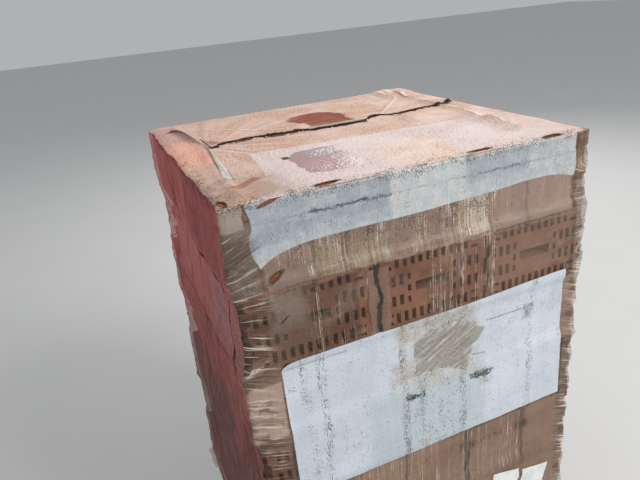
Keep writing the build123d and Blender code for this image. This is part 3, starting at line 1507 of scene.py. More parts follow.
@dataclass
class Studio:
    """Floor, lights and the camera."""

    effects: Effects
    lens: float = 32.995
    sensor: float = 36.0
    place: Triple = (-0.6877, -1.5697, 2.0673)
    right: Triple = (0.91685, -0.38912, -0.08926)
    up: Triple = (0.22835, 0.32775, 0.91675)
    back: Triple = (-0.32748, -0.86091, 0.38936)
    lamp_size: float = 3.0
    lamp_aim: Triple = (0.0, 0.0, 1.0)

    def build(self) -> None:
        """Make all of it."""
        self.camera()
        self.floor()
        self.sky()
        self.lamp("key", (3.2, -5.0, 5.2), 400, (1.0, 0.98, 0.95))
        self.lamp("rim", (3.5, 4.5, 4.6), 160, (1.0, 0.99, 0.97))
        bpy.context.scene.view_settings.view_transform = "Standard"

    def camera(self) -> None:
        """The camera at the photograph's angle."""
        data = bpy.data.cameras.new("camera")
        data.lens, data.sensor_width = self.lens, self.sensor
        data.clip_start, data.clip_end = 0.05, 100
        camera = bpy.data.objects.new("camera", data)
        bpy.context.scene.collection.objects.link(camera)
        camera.matrix_world = Matrix((*zip(self.right, self.up, self.back, self.place), (0, 0, 0, 1)))
        bpy.context.scene.camera = camera

    def floor(self) -> None:
        """A plain pale floor that runs up to the horizon."""
        reach = 30.0
        corners = np.array([(-reach, -reach, 0), (reach, -reach, 0), (reach, reach, 0), (-reach, reach, 0)])
        floor = new_mesh("floor", corners, [(0, 1, 2, 3)], smooth=False)
        g = Surface("floor_paint", self.effects)
        shade = g.mix(g.noise(g.place(), 2.0, 2.0), (0.62, 0.62, 0.61), (0.66, 0.66, 0.65))
        floor.data.materials.append(g.finish({"Base Color": shade, "Roughness": 0.9}))

    def sky(self) -> None:
        """A pale sky."""
        world = bpy.data.worlds.new("sky")
        bpy.context.scene.world = world
        world.use_nodes = True
        background = world.node_tree.nodes["Background"]
        background.inputs["Color"].default_value = (0.86, 0.88, 0.92, 1)
        background.inputs["Strength"].default_value = 0.50

    def lamp(self, name: str, place: Triple, power: float, colour: Colour) -> None:
        """One soft square lamp that looks at the load.

        Args:
            name: The lamp's name.
            place: Where it hangs, in metres.
            power: Its power in watts.
            colour: The colour of its light.
        """
        data = bpy.data.lights.new(name, "AREA")
        data.shape, data.size = "SQUARE", self.lamp_size
        data.energy, data.color = power, colour
        lamp = bpy.data.objects.new(name, data)
        bpy.context.scene.collection.objects.link(lamp)
        turn = (Vector(self.lamp_aim) - Vector(place)).to_track_quat("-Z", "Y")
        lamp.matrix_world = Matrix.Translation(place) @ turn.to_matrix().to_4x4()


# The CAD nodes

def paint(node: Piece, material: Material) -> None:
    """Put one material in all of a node's slots.

    Args:
        node: The node.
        material: Its material.
    """
    if not node.material_slots:
        node.data.materials.append(material)
    for slot in node.material_slots:
        slot.material = material


def dress_layers(effects: Effects, load: Load, hood: FilmHood) -> None:
    """Give each layer of blocks its clay, painted brighter under the tears as painted light.

    Args:
        effects: Shared node groups.
        load: Sizes of the load.
        hood: The film with the tears.
    """
    finish = ClayFinish()
    for number in range(1, load.layers + 1):
        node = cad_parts[f"brick_layer_{number}"]
        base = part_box(node.name)[0].z
        along_x = number % 2 == 0
        bare = tuple(map(hood.tear_place, hood.tears)) if number == load.layers else ()
        paint(node, finish.material(f"clay_{number}", effects, along_x, base, load.layer_height, bare))


def dress_pallet(effects: Effects) -> None:
    """Give the boards and bearers their wood.

    Args:
        effects: Shared node groups.
    """
    finish = WoodFinish()
    along_x = finish.material("wood_across", effects, True)
    along_y = finish.material("wood_along", effects, False)
    for name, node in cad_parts.items():
        if name.startswith(("deck_board", "bottom_board")):
            paint(node, along_x)
        elif name.startswith("bearer"):
            paint(node, along_y)


# The film's finish

class FilmSurface(Surface):
    """A material of the hood, with the coordinates and noises that its layers share."""

    def __init__(self, name: str, effects: Effects, zone: Zone, width: float) -> None:
        """Make the material and read where a point lies.

        Args:
            name: The material's name.
            effects: Shared node groups.
            zone: The zone of the hood that it covers.
            width: Width of one side of the hood.
        """
        super().__init__(name, effects)
        self.zone = zone
        self.at = self.place()
        self.x, self.y, _ = self.split(self.at)
        self.uv = self.add("UVMap", {}, uv_map="film_metres")
        self.u, v, _ = self.split(self.uv)
        self.depth = v * -1.0
        self.cloud = self.noise(self.at, 7.0, 5.0, 0.6, 0.5)
        self.fine = self.noise(self.at, 34.0, 4.0, 0.65)
        self.grit = self.noise(self.at, 330.0, 2.0, 0.7)
        if zone in (Zone.FRONT_HIGH, Zone.FRONT_LOW):
            self.x = self.u - width / 2


@dataclass(frozen=True)
class FilmFinish:
    """Weathered film: hazy, dusty, printed white and blue-white, dripped on and mouldy, with painted
    highlights and shade on its folds and creases, painted shadow in the slit and a painted red reflection on
    the left side.

    Places on the front are x and the depth below the top; the same two numbers go on over the top,
    where the depth is below zero. Places on the top are x and y. All are in metres. Boxes are
    left, right, low and high.
    """

    width: float
    slit: Line
    tears: tuple[Tear, ...]
    top_haze: Colour = srgb(226, 192, 176)
    top_warm: Colour = srgb(226, 184, 160)
    top_wet: Colour = srgb(134, 62, 34)
    print_top: Colour = srgb(222, 205, 200)
    puddle: Colour = srgb(168, 130, 128)
    front_haze: Colour = srgb(132, 110, 96)
    front_pale: Colour = srgb(172, 154, 138)
    band_blue: Colour = srgb(166, 178, 188)
    band_pale: Colour = srgb(198, 202, 204)
    panel: Colour = srgb(206, 214, 224)
    # Mauve of the left side's film over brick, partly a painted reflection of red stacks nearby
    side_mauve_reflection: Colour = srgb(222, 130, 126)
    side_brown: Colour = srgb(142, 108, 104)
    cream: Colour = srgb(222, 206, 190)
    dirt: Colour = srgb(112, 88, 62)
    mould: Colour = srgb(42, 46, 42)
    joint: Colour = srgb(74, 42, 38)
    band_left: Line = (
        (-0.42, -0.302), (-0.25, -0.318), (-0.14, -0.332), (-0.05, -0.338), (-0.02, -0.395), (0.0, -0.428),
        (0.05, -0.419), (0.09, -0.428), (0.152, -0.412), (0.20, -0.400),
    )
    band_foot: Line = (
        (-0.484, 0.185), (-0.415, 0.154), (-0.390, 0.137), (-0.350, 0.123), (-0.300, 0.115), (-0.200, 0.112),
        (0.0, 0.110), (0.100, 0.106), (0.200, 0.103), (0.300, 0.097), (0.360, 0.098), (0.440, 0.113),
        (0.484, 0.118),
    )
    panel_top: Line = (
        (-0.410, 0.440), (-0.397, 0.412), (-0.388, 0.401), (-0.372, 0.395), (-0.300, 0.392), (-0.100, 0.388),
        (0.050, 0.385), (0.200, 0.380), (0.350, 0.372), (0.440, 0.370),
    )

    def material(self, name: str, effects: Effects, zone: Zone) -> Material:
        """The material of one zone of the hood.

        Args:
            name: The material's name.
            effects: Shared node groups.
            zone: The zone.

        Returns:
            The material.
        """
        s = FilmSurface(name, effects, zone, self.width)
        if zone is Zone.TOP:
            dimple = s.cells(s.stretch(s.at, (1.0, 0.7, 1.0), 0.5), 105.0)
            coat, wet, dark = self.top(s, dimple)
            rough = s.blend(wet, s.cloud.step(0.3, 0.7, 0.55, 0.8), 0.14) | dark
            corner = s.x.step(-0.40, -0.475) * s.y.step(0.1, -0.2, 0.45, 1.0)
            rim = (s.depth + 0.012).step(-0.045, 0.0) | corner
            dimples = dimple.step(0.1, 0.7) * s.cloud.step(0.42, 0.6, 0.25, 1.0)
            relief = (dimples * -0.6).without(wet) + s.fine * 0.6 + s.grit * 0.05
            pale_grit = s.grit.step(0.42, 0.24, 0.0, 0.22).without(dark)
        else:
            coat, crest = self.side(s)
            rough = s.blend(crest, s.fine.step(0.35, 0.65, 0.26, 0.5), 0.16)
            rim = s.depth.step(0.045, 0.0)
            wrinkle = s.noise(s.stretch(s.uv, (14.0, 60.0, 1.0)), 1.0, 4.0, 0.6, 0.6)
            runs = s.noise(s.stretch(s.uv, (110.0, 7.0, 1.0)), 1.0, 3.0, 0.6)
            relief = wrinkle * 0.8 + runs * 0.5 + s.fine * 0.7 + s.grit * 0.06
            pale_grit = s.grit.step(0.42, 0.24, 0.0, 0.22)
        coat.paint(self.mould, s.specks(s.at, 300.0, rim * 0.75), 0.75)
        few = s.specks(s.at, 190.0, 0.17)
        coat.paint(self.dirt, few, 0.62)
        coat.thicken(few, 0.8)
        coat.paint(self.dirt, s.grit.step(0.58, 0.78, 0.0, 0.22))
        coat.paint(srgb(240, 232, 224), pale_grit)
        self.cut_tears(s, coat)
        shine = {Zone.TOP: 0.2, Zone.LEFT: 0.0}.get(zone, 0.42)
        looks = {"Base Color": coat.colour, "Alpha": coat.alpha, "Roughness": rough}
        return s.finish({**looks, "IOR": 1.48, "Specular IOR Level": shine}, relief, 0.0022)

    def cut_tears(self, s: FilmSurface, coat: Coat) -> None:
        """Cut the tears of the surface's zone, with dark ragged rims.

        Args:
            s: The surface.
            coat: Its coat.
        """
        home = {Zone.TOP: None, Zone.FRONT_HIGH: Side.FRONT}
        tears = [tear for tear in self.tears if s.zone in home and tear.side is home[s.zone]]
        if not tears:
            return
        ragged = s.grit.sway(1.8, s.fine.sway(3.4))
        down, flip = (s.y, 1) if s.zone is Zone.TOP else (s.depth, -1)
        for tear in tears:
            away_x, away_y = s.x - tear.middle[0], down - tear.middle[1]
            cos, sin = math.cos(tear.turn), math.sin(tear.turn)
            along = away_x * (cos / tear.half[0]) + away_y * (flip * sin / tear.half[0])
            across = away_y * (flip * cos / tear.half[1]) + away_x * (-sin / tear.half[1])
            reach = along * along + across * across + ragged
            rim = reach.step(2.7, 1.5)
            coat.paint(srgb(54, 38, 30), rim, 0.88)
            coat.alpha = (coat.alpha | rim).without(reach.step(1.15, 0.85))

    def side(self, s: FilmSurface) -> tuple[Coat, Signal]:
        """The layers of a side.

        Args:
            s: The side's surface.

        Returns:
            The coat, and the crests of the folds.
        """
        fold = s.add("Attribute", {}, "Fac", attribute_name="fold")
        tint = s.noise(s.stretch(s.uv, (3.0, 9.0, 1.0)), 1.0, 3.0)
        is_left = s.zone is Zone.LEFT
        if is_left:
            coat = self.left(s, tint)
        else:
            haze = s.mix((s.cloud * 0.6 + tint * 0.4).step(0.36, 0.66), self.front_haze, self.front_pale)
            coat = Coat(s, haze, s.cloud.step(0.3, 0.7, 0.07, 0.24))
        if s.zone in (Zone.FRONT_HIGH, Zone.FRONT_LOW):
            self.front(s, coat)
        else:
            share = s.cloud.step(0.5, 0.66, 0.0, 0.55)
            runs = s.drips(s.u, s.depth, share)
            coat.paint(self.cream, runs, share.step(0.0, 0.4), 0.6)
            coat.thicken(runs, share)
        # Crests of the folds painted cream: partly stress whitening of the film, partly painted highlight
        crest = fold.step(0.62, 0.98) * s.fine.step(0.34, 0.6)
        coat.paint(self.cream, crest, 0.22 if is_left else 0.75)
        coat.thicken(crest, 0.8)
        # Painted shade in the valleys of the folds
        coat.paint(srgb(86, 62, 48), fold.step(0.36, 0.08), 0.4 if is_left else 0.6)
        # Tight lines at both ends of the side: pale crests, partly stress whitening and partly painted
        # highlight, with painted shade between them
        along = s.math("MODULO", s.u, self.width + SIDE_GAP)
        ends = along.step(0.105, 0.04) | along.step(self.width - 0.065, self.width - 0.02)
        ends = ends * s.depth.step(0.05, 0.08) * s.cloud.step(0.25, 0.5, 0.5, 1.0)
        pale, dark = s.creases(along, s.depth, s.depth.step(0.06, 0.34, 0.45, -0.35))
        for lines, colour, alpha in ((dark, srgb(74, 58, 48), 0.7), (pale, self.cream, 0.85)):
            coat.paint(colour, lines, ends, 0.30 if is_left else 0.72)
            coat.thicken(lines, ends, alpha)
        return coat, crest

    def left(self, s: FilmSurface, tint: Signal) -> Coat:
        """The left side: mauve with a painted reflection of red stacks nearby, browner lower down, streaked,
        with a painted sheen and the joints between its blocks.

        Args:
            s: The side's surface.
            tint: A broad noise.

        Returns:
            The coat.
        """
        # Mauve with a painted reflection of red stacks nearby, browner lower down
        low = (s.depth * 0.9 + s.cloud * 0.9).step(0.5, 1.3)
        coat = Coat(s, s.mix(low, self.side_mauve_reflection, self.side_brown), s.fine.step(0.3, 0.7, 0.66, 0.86))
        streak = s.noise(s.stretch(s.uv, (16.0, 5.0, 1.0)), 1.0, 4.0, 0.68, 0.6)
        coat.paint(srgb(214, 140, 128), streak.step(0.5, 0.72), 0.40)
        coat.paint(srgb(126, 68, 62), streak.step(0.49, 0.30), 0.55)
        ahead = s.u - (3.5 * self.width + 3 * SIDE_GAP)
        drift, sink = ahead + tint * 0.1, s.depth + s.cloud * 0.1
        sheen = s.box(drift, sink, (0.30, 0.42, 0.33, 0.38), 0.13)
        coat.paint(srgb(204, 168, 174), sheen, s.fine.step(0.3, 0.7, 0.5, 1.0), 0.6)
        bruise = s.box(ahead + s.cloud * 0.1, s.depth, (0.17, 0.47, -0.1, 0.20), 0.05)
        coat.paint(srgb(136, 88, 98), bruise, 0.34)
        coat.paint(srgb(236, 158, 158), s.box(drift, sink, (-0.15, 0.15, 0.29, 0.40), 0.10), 0.45)
        bend = s.fine.sway(0.016)
        level = s.depth + bend
        upright = ahead + bend + (s.depth * 34.0).sine() * -0.016
        for line, middle, box, strength in (
            (level, 0.221, (0.09, 0.435, 0.0, 0.5), 0.85), (level, 0.205, (-0.45, 0.09, 0.0, 0.5), 0.35),
            (level, 0.425, (-0.25, 0.37, 0.3, 0.5), 0.35), (level, 0.615, (0.28, 0.47, 0.5, 0.7), 0.35),
            (upright, 0.402, (0.30, 0.48, 0.225, 0.41), 0.85), (upright, 0.098, (0.0, 0.2, 0.05, 0.44), 0.35),
            (upright, -0.094, (-0.2, 0.0, 0.02, 0.42), 0.35), (upright, 0.07, (0.0, 0.2, 0.44, 0.6), 0.35),
            (upright, -0.288, (-0.4, -0.2, 0.02, 0.42), 0.35),
        ):
            joint = line.line(middle, 0.010, 0.003) * s.box(ahead, s.depth, box, 0.02)
            coat.paint(self.joint, joint, s.cloud.step(0.2, 0.4, 0.6, 1.0), strength)
        return coat

    def front(self, s: FilmSurface, coat: Coat) -> None:
        """Lay the stains, drips, printed band and printed panel of the front.

        Args:
            s: The surface of the front's upper or lower zone.
            coat: The coat that they go on.
        """
        x, depth = s.x, s.depth
        wavy_x, wavy_depth = s.fine.sway(0.022, x), s.cloud.sway(0.03, depth)
        ragged = s.grit.sway(0.006)
        for box, soft, tone, strength in (
            ((-0.40, 0.43, 0.10, 0.197), 0.012, srgb(158, 130, 116), 0.50),
            ((-0.385, -0.345, 0.185, 0.285), 0.055, srgb(124, 116, 108), 0.42),
            ((0.20, 0.45, 0.215, 0.289), 0.04, srgb(124, 124, 112), 0.10),
            ((-0.166, -0.116, 0.218, 0.39), 0.005, srgb(118, 84, 66), 0.80),
            ((0.22, 0.40, 0.115, 0.18), 0.035, srgb(188, 168, 156), 0.38),
            ((-0.40, 0.44, 0.80, 1.30), 0.015, srgb(172, 134, 108), 0.42),
            ((0.098, 0.165, 0.055, 0.195), 0.008, srgb(214, 202, 184), 0.60),
            ((-0.285, -0.105, 0.15, 0.195), 0.020, srgb(176, 162, 128), 0.50),
            ((-0.49, -0.425, 0.055, 0.20), 0.018, srgb(84, 76, 68), 0.70),
            ((-0.49, -0.436, -0.002, 0.055), 0.006, srgb(150, 138, 128), 0.85),
            ((-0.49, -0.405, 0.44, 0.588), 0.014, srgb(178, 156, 142), 0.70),
            ((-0.49, -0.40, 0.395, 0.435), 0.010, srgb(112, 76, 56), 0.60),
            ((-0.49, -0.40, 0.592, 0.618), 0.010, srgb(104, 72, 56), 0.60),
            ((0.452, 0.49, 0.0, 0.42), 0.012, srgb(122, 108, 92), 0.50),
            ((0.430, 0.49, 0.40, 0.59), 0.012, srgb(150, 124, 108), 0.55),
            ((0.445, 0.49, 0.59, 1.5), 0.015, srgb(122, 104, 88), 0.45),
        ):
            if s.zone.shows(*box[2:]):
                coat.stain(tone, s.box(wavy_x, wavy_depth, box, soft), strength)
        # Rust-brown and brown ledge lines with dark specks, and a pale one that is a painted highlight on a
        # ledge's edge
        for level, left, right, tone, strength in (
            (0.208, -0.45, -0.155, srgb(122, 72, 46), 0.70), (0.203, -0.12, 0.185, srgb(190, 158, 140), 0.5),
            (0.208, 0.19, 0.44, srgb(120, 98, 74), 0.5), (0.856, 0.10, 0.32, srgb(112, 68, 46), 0.9),
        ):
            if s.zone.shows(level, level):
                away = abs(s.fine.sway(0.022, depth + ragged) - level)
                span = x.step(left - 0.01, left) * x.step(right + 0.01, right)
                coat.stain(tone, away.step(0.009, 0.002) * span * s.cloud.step(0.3, 0.55, 0.6, 1.0), strength)
                coat.stain(self.mould, s.specks(s.uv, 150.0, away.step(0.016, 0.004) * span * 0.45), 0.55)
        # Upright joints between blocks, seen through the haze
        for middle, top, foot, tone, strength in (
            (-0.290, 0.10, 0.20, srgb(92, 76, 64), 0.5), (0.096, 0.09, 0.20, srgb(150, 148, 96), 0.5),
            (0.289, 0.08, 0.20, srgb(112, 92, 78), 0.35), (-0.080, 0.79, 1.0, srgb(76, 54, 44), 0.70),
            (0.115, 0.79, 1.0, srgb(50, 46, 32), 1.0), (0.310, 0.79, 1.0, srgb(70, 52, 40), 0.85),
        ):
            if s.zone.shows(top, foot):
                extent = s.box(x, depth, (middle - 0.05, middle + 0.05, top, foot), 0.01)
                coat.stain(tone, (wavy_x + ragged).line(middle, 0.010, 0.003) * extent, strength)
        # Wavy dark gap between the first two blocks of the second layer
        away = abs(wavy_x + (depth * 58.0).sine() * 0.0045 + 0.141)
        gap = (away + ragged).step(0.0075, 0.0045) * s.box(x, depth, (-0.2, -0.1, 0.208, 0.392), 0.010)
        coat.stain(srgb(26, 28, 24), gap, 0.97)
        beside = away.step(0.022, 0.010) * s.box(x, depth, (-0.2, -0.1, 0.23, 0.38), 0.02)
        coat.stain(srgb(64, 56, 48), beside * s.grit.step(0.5, 0.6), 0.5)
        for spot_x, spot_depth, reach in (
            (0.115, 0.853, 0.014), (0.306, 0.856, 0.014), (-0.302, 0.214, 0.006), (0.285, 0.212, 0.005),
        ):
            box = (spot_x - reach, spot_x + reach, spot_depth - reach * 0.3, spot_depth + reach * 0.6)
            if s.zone.shows(*box[2:]):
                spot = s.box(wavy_x + ragged, wavy_depth, box, reach) * s.grit.step(0.25, 0.5)
                coat.stain(srgb(46, 48, 34), spot, 0.8)
        # Drips
        areas = [s.box(wavy_x, wavy_depth, box, 0.018) * strength for box, strength in (
            ((-0.30, 0.19, 0.108, 0.192), 1.0), ((-0.37, -0.28, 0.12, 0.16), 1.0),
            ((0.008, 0.088, 0.11, 0.392), 0.9), ((0.135, 0.190, 0.11, 0.392), 0.9),
            ((-0.315, -0.165, 0.24, 0.39), 0.6),
            ((-0.24, 0.30, 0.80, 0.98), 0.75), ((0.20, 0.43, 0.11, 0.17), 0.45),
        ) if s.zone.shows(*box[2:])]
        wet = highest(areas)
        runs = s.drips(x, depth, wet) * wet.step(0.0, 0.4) * s.fine.step(0.3, 0.55, 0.45, 1.0)
        coat.stain(self.cream, runs, 0.84)
        coat.stain(srgb(112, 58, 50), s.drips(x + 3.3, depth, wet * 0.7) * wet, 0.7)
        density = depth.step(0.20, 0.11, 0.40, 0.66) if s.zone is Zone.FRONT_HIGH else 0.45
        coat.stain(self.mould, s.specks(s.uv, 270.0, wet * density), 0.8)
        if s.zone is Zone.FRONT_HIGH:
            self.band(s, coat)
        else:
            self.panel_print(s, coat, wavy_x, wavy_depth, ragged)

    def band(self, s: FilmSurface, coat: Coat) -> None:
        """Lay the translucent printed band along the top of the front, which goes on over the top.

        Args:
            s: The surface of the front's upper zone.
            coat: The coat that it goes on.
        """
        x, depth, fine = s.x, s.depth, s.fine
        above_foot = s.curve(x, self.band_foot) - depth
        inside = (
            (x - s.curve(depth, self.band_left)).step(-0.0005, 0.0015) & above_foot.step(-0.0005, 0.0015)
            & (x + (depth * 60.0).sine() * 0.003).step(0.4405, 0.4385)
        )
        hazy = fine.sway(0.05) + x
        pale = (
            s.box(hazy, depth, (-0.088, 0.10, -0.1, 0.2), 0.016) | above_foot.step(0.045, 0.02) * 0.6
            | s.box(hazy, depth, (0.295, 0.46, -0.1, 0.2), 0.016) * 0.55
        )
        pale = s.math("ADD", pale * 0.70, fine.step(0.4, 0.65) * 0.45, clamp=True)
        ink = Coat(s, s.mix(pale, self.band_blue, self.band_pale))
        ink.paint(srgb(140, 156, 168), s.box(x, depth, (-0.42, -0.10, 0.062, 0.098), 0.006), 0.30)
        ink.paint(srgb(176, 164, 156), depth.step(0.02, 0.0), 0.3)
        ink.paint(srgb(228, 230, 230), s.drips(x, depth, 0.5), 0.3)
        # Mould line where water stands in a crease
        crease = abs(fine.sway(0.02) + depth - 0.050)
        second = s.box(x, depth, (0.10, 0.29, 0.0, 0.1), 0.01)
        strong = s.box(x, depth, (-0.285, -0.095, 0.0, 0.1), 0.01) + second * 0.5 + 0.35
        spots = s.specks(s.uv, 420.0, crease.step(0.012, 0.0) * strong * 0.8)
        ink.paint(srgb(74, 84, 92), spots, crease.step(0.014, 0.004), 0.8)
        ink.paint(srgb(70, 80, 88), crease.step(0.0035, 0.001), strong, fine.step(0.40, 0.55), 0.75)
        grime = s.specks(s.join(x, depth * 0.5), 330.0, fine.step(0.4, 0.65, 0.22, 0.45))
        ink.paint(srgb(96, 98, 96), grime, 0.6)
        runs = s.drips(x + 5.1, depth, fine.step(0.45, 0.6, 0.1, 0.55))
        ink.paint(srgb(120, 124, 124), runs, depth.step(0.01, 0.05), 0.35)
        coat.paint(ink.colour, inside, 0.94)
        coat.alpha = s.blend(inside, coat.alpha, pale.scaled(0.12, 0.80))

    def panel_print(
        self, s: FilmSurface, coat: Coat, wavy_x: Signal, wavy_depth: Signal, ragged: Signal
    ) -> None:
        """Lay the large white panel on the front, with its drips, mould and the worn patch.

        Args:
            s: The surface of the front's lower zone.
            coat: The coat that it goes on.
            wavy_x: x with a wave in it.
            wavy_depth: The depth with a wave in it.
            ragged: A fine jitter.
        """
        x, depth, fine, grit = s.x, s.depth, s.fine, s.grit
        across = x - (depth - 0.4) * 0.022
        foot = x.scaled(-0.030, 0.7955)
        inside = (
            (depth - s.curve(x, self.panel_top)).step(-0.0008, 0.0012) & (foot - depth).step(-0.0008, 0.0012)
            & across.step(-0.3985, -0.3965) & across.step(0.4265, 0.4245)
        )
        ink = Coat(s, s.mix(s.cloud.step(0.35, 0.7), self.panel, srgb(190, 198, 210)))
        ink.paint(srgb(196, 192, 186), s.box(x, depth, (-0.09, 0.11, 0.39, 0.60), 0.006), 0.35)
        ink.paint(srgb(176, 190, 192), s.box(wavy_x, wavy_depth, (-0.16, 0.14, 0.60, 0.80), 0.05), 0.6)
        # Runs of dirt, dense down a few columns
        columns = fine.step(0.45, 0.6, 0.16, 0.36)
        for middle, half_width, strength in (
            (-0.302, 0.012, 0.85), (-0.080, 0.010, 1.0), (0.095, 0.012, 1.0), (-0.030, 0.030, 0.62),
            (0.318, 0.010, 0.80), (0.01, 0.09, 0.66), (-0.345, 0.010, 0.62), (-0.205, 0.012, 0.45),
            (0.215, 0.008, 0.4),
        ):
            columns |= x.line(middle, half_width + 0.012, half_width * 0.4) * strength
        ink.paint(srgb(140, 146, 142), s.drips(x + 7.7, depth, columns), columns, 0.30)
        black = s.specks(s.join(x, depth * 0.34), 380.0, columns * 0.74)
        ink.paint(self.mould, black, grit.step(0.36, 0.56, 0.35, 0.85))
        ink.paint(srgb(120, 108, 84), s.specks(s.join(x + 1.7, depth * 0.22), 300.0, columns * 0.50), 0.45)
        # Tan speckled patch round the clear one
        worn = highest([s.box(wavy_x, wavy_depth, box, soft) for box, soft in (
            ((-0.085, 0.12, 0.392, 0.44), 0.03), ((-0.03, 0.12, 0.42, 0.57), 0.05),
            ((-0.10, 0.0, 0.52, 0.56), 0.03),
        )])
        ink.paint(self.dirt, s.specks(s.uv, 300.0, worn * 0.55), worn, 0.8)
        ink.paint(srgb(176, 164, 146), worn, fine.step(0.35, 0.6), 0.55)
        # Black-green mould
        jitter = s.noise(s.uv, 70.0, 2.0, 0.6)
        for box, strength, core_strength in (
            ((-0.074, -0.024, 0.611, 0.619), 1.0, 0.95), ((0.122, 0.188, 0.610, 0.619), 1.0, 0.95),
            ((0.155, 0.185, 0.62, 0.650), 0.5, 0.2), ((-0.034, -0.032, 0.62, 0.68), 0.5, 0.2),
            ((0.298, 0.320, 0.452, 0.492), 0.6, 0.24),
        ):
            patch = s.box(jitter.sway(0.05) + x, fine.sway(0.04) + depth, box, 0.012)
            spots = s.specks(s.uv, 330.0, patch * (strength * 0.72))
            ink.paint(srgb(96, 112, 96), patch, fine.step(0.36, 0.62), 0.35 * strength)
            ink.paint(self.mould, spots, patch.step(0.1, 0.5), 0.9)
            core = patch.step(0.65, 0.95) * grit.step(0.38, 0.50) * jitter.step(0.36, 0.48)
            ink.paint(srgb(30, 38, 34), core, core_strength)
        # A scratch with dark spots at its end, a thin red line and a grey one
        for start, end, level, slope, tone, strength in (
            (0.175, 0.310, 0.458, 0.0, self.mould, 0.55), (0.13, 0.170, 0.551, 0.14, srgb(170, 84, 70), 0.7),
            (-0.385, -0.235, 0.414, 0.0, srgb(110, 108, 104), 0.55),
        ):
            line = (depth + ragged).line((x - start).scaled(slope, level), 0.003, 0.001)
            span = x.step(start - 0.004, start) * x.step(end + 0.004, end)
            ink.paint(tone, line * span, grit.step(0.3, 0.5), strength)
        coat.paint(ink.colour, inside, 0.97)
        coat.alpha = s.blend(inside, coat.alpha, 0.965)

    def top(self, s: FilmSurface, dimple: Signal) -> tuple[Coat, Signal, Signal]:
        """The layers of the top.

        Args:
            s: The top's surface.
            dimple: Distance to the nearest dimple of the film.

        Returns:
            The coat, how wet each place is, and where it is dark and dull.
        """
        x, fine, grit, cloud = s.x, s.fine, s.grit, s.cloud
        y = s.y + s.y.step(-0.46, -0.38, 0.0, 0.012)
        ragged, fine_ragged = fine.sway(0.05), grit.sway(0.004)
        wavy_x, wavy_y = x + ragged, cloud.sway(0.10) + y
        coat = Coat(s, s.mix(cloud.step(0.36, 0.68), self.top_haze, self.top_warm))
        coat.paint(srgb(238, 216, 202), fine.step(0.5, 0.75), 0.4)
        # Brick seen in the low places between the dimples, and faint joints between the blocks
        stipple = dimple.step(0.34, 0.12) * cloud.step(0.44, 0.6) * grit.step(0.35, 0.55)
        coat.paint(srgb(150, 92, 66), stipple, 0.6)
        joints = [wavy_x.line(place, 0.010, 0.003) for place in BLOCK_JOINTS]
        joints += [y.line(place, 0.009, 0.003) for place in ROW_JOINTS]
        coat.paint(srgb(150, 110, 92), highest(joints), fine.step(0.35, 0.65), 0.14)
        # Clean salmon strip at the left, wet oval and its tail
        drift = x + ragged * 0.3
        strip = s.box(drift, y + ragged * 0.3, (-0.50, -0.402, -0.13, 0.19), 0.006)
        coat.paint(srgb(250, 186, 162), strip, 0.85)
        coat.paint(srgb(216, 174, 166), s.box(drift, y, (-0.50, -0.402, 0.19, 0.44), 0.006), 0.6)
        across, along = (wavy_x - 0.010) / 0.094, (y - 0.215) / 0.082
        tail = s.box(wavy_x, y, (-0.045, 0.085, 0.10, 0.20), 0.015)
        oval = (across * across + along * along).step(1.15, 0.85) | tail
        wet_tone = s.mix(fine.step(0.35, 0.7), self.top_wet, srgb(156, 84, 56))
        coat.paint(wet_tone, oval, grit.step(0.2, 0.6, 0.90, 1.0))
        coat.paint(srgb(150, 142, 118), s.box(x, y + ragged * 0.2, (-0.070, 0.105, 0.048, 0.078), 0.008), 0.8)
        # Folds that fan out from the slit's left end
        out_x, out_y = x + 0.372, y - 0.08
        far = s.math("SQRT", out_x * out_x + out_y * out_y)
        rays = s.noise(s.join(s.math("ARCTAN2", out_y, out_x) * 9.0, far * 3.0, 1.7), 1.0, 2.0)
        fan = far.step(0.50, 0.06) * x.step(-0.40, -0.36)
        coat.paint(srgb(240, 220, 210), fan, rays.step(0.52, 0.62), 0.55)
        coat.paint(srgb(190, 150, 130), fan, rays.step(0.47, 0.38), 0.40)
        # The long fold at the right: a dark line and beside it a painted highlight along its ridge; and three
        # straight ones, each a pale line with a darker one beside it
        fold_x = x + (y * 9.0).sine() * -0.010 + ragged * 0.25
        long_way = y.step(-0.36, -0.22) * y.step(0.46, 0.38)
        coat.paint(srgb(128, 108, 92), fold_x.line(0.384, 0.007, 0.001), long_way, 0.7)
        coat.paint(srgb(248, 242, 236), fold_x.line(0.398, 0.012, 0.004), long_way, 0.8)
        for start, end, strength in (
            ((-0.365, 0.345), (-0.13, 0.125), 0.55), ((0.365, 0.31), (0.20, 0.11), 0.5),
            ((-0.375, 0.02), (-0.30, -0.075), 0.4),
        ):
            run = Vector(end) - Vector(start)
            normal = Vector((-run.y, run.x)).normalized()
            off = x * normal.x + y * normal.y + ragged * 0.2 - normal.dot(Vector(start))
            first, last = sorted((start[0], end[0]))
            near = x.step(first - 0.03, first + 0.02) * x.step(last + 0.03, last - 0.02)
            coat.paint(srgb(246, 232, 224), off.line(0.0, 0.009, 0.002), near, strength)
            coat.paint(srgb(176, 140, 120), off.line(-0.012, 0.009, 0.002), near, strength * 0.7)
        # Print
        back = x.scaled(-0.085, -0.111)
        printed = (x - s.curve(s.depth, self.band_left)).step(-0.002, 0.003)
        printed = printed & (back - (y + ragged * 0.12)).step(-0.002, 0.004)
        printed = printed * (x + cloud * 0.2).step(0.56, 0.40, 0.35, 1.0)
        blush = s.box(wavy_x, wavy_y, (-0.02, 0.11, -0.43, -0.28), 0.05) * 0.7
        ink = Coat(s, s.mix(blush, self.print_top, srgb(232, 204, 180)))
        ink.paint(srgb(222, 206, 208), fine.step(0.45, 0.7), 0.4)
        coat.paint(ink.colour, printed, 0.85)
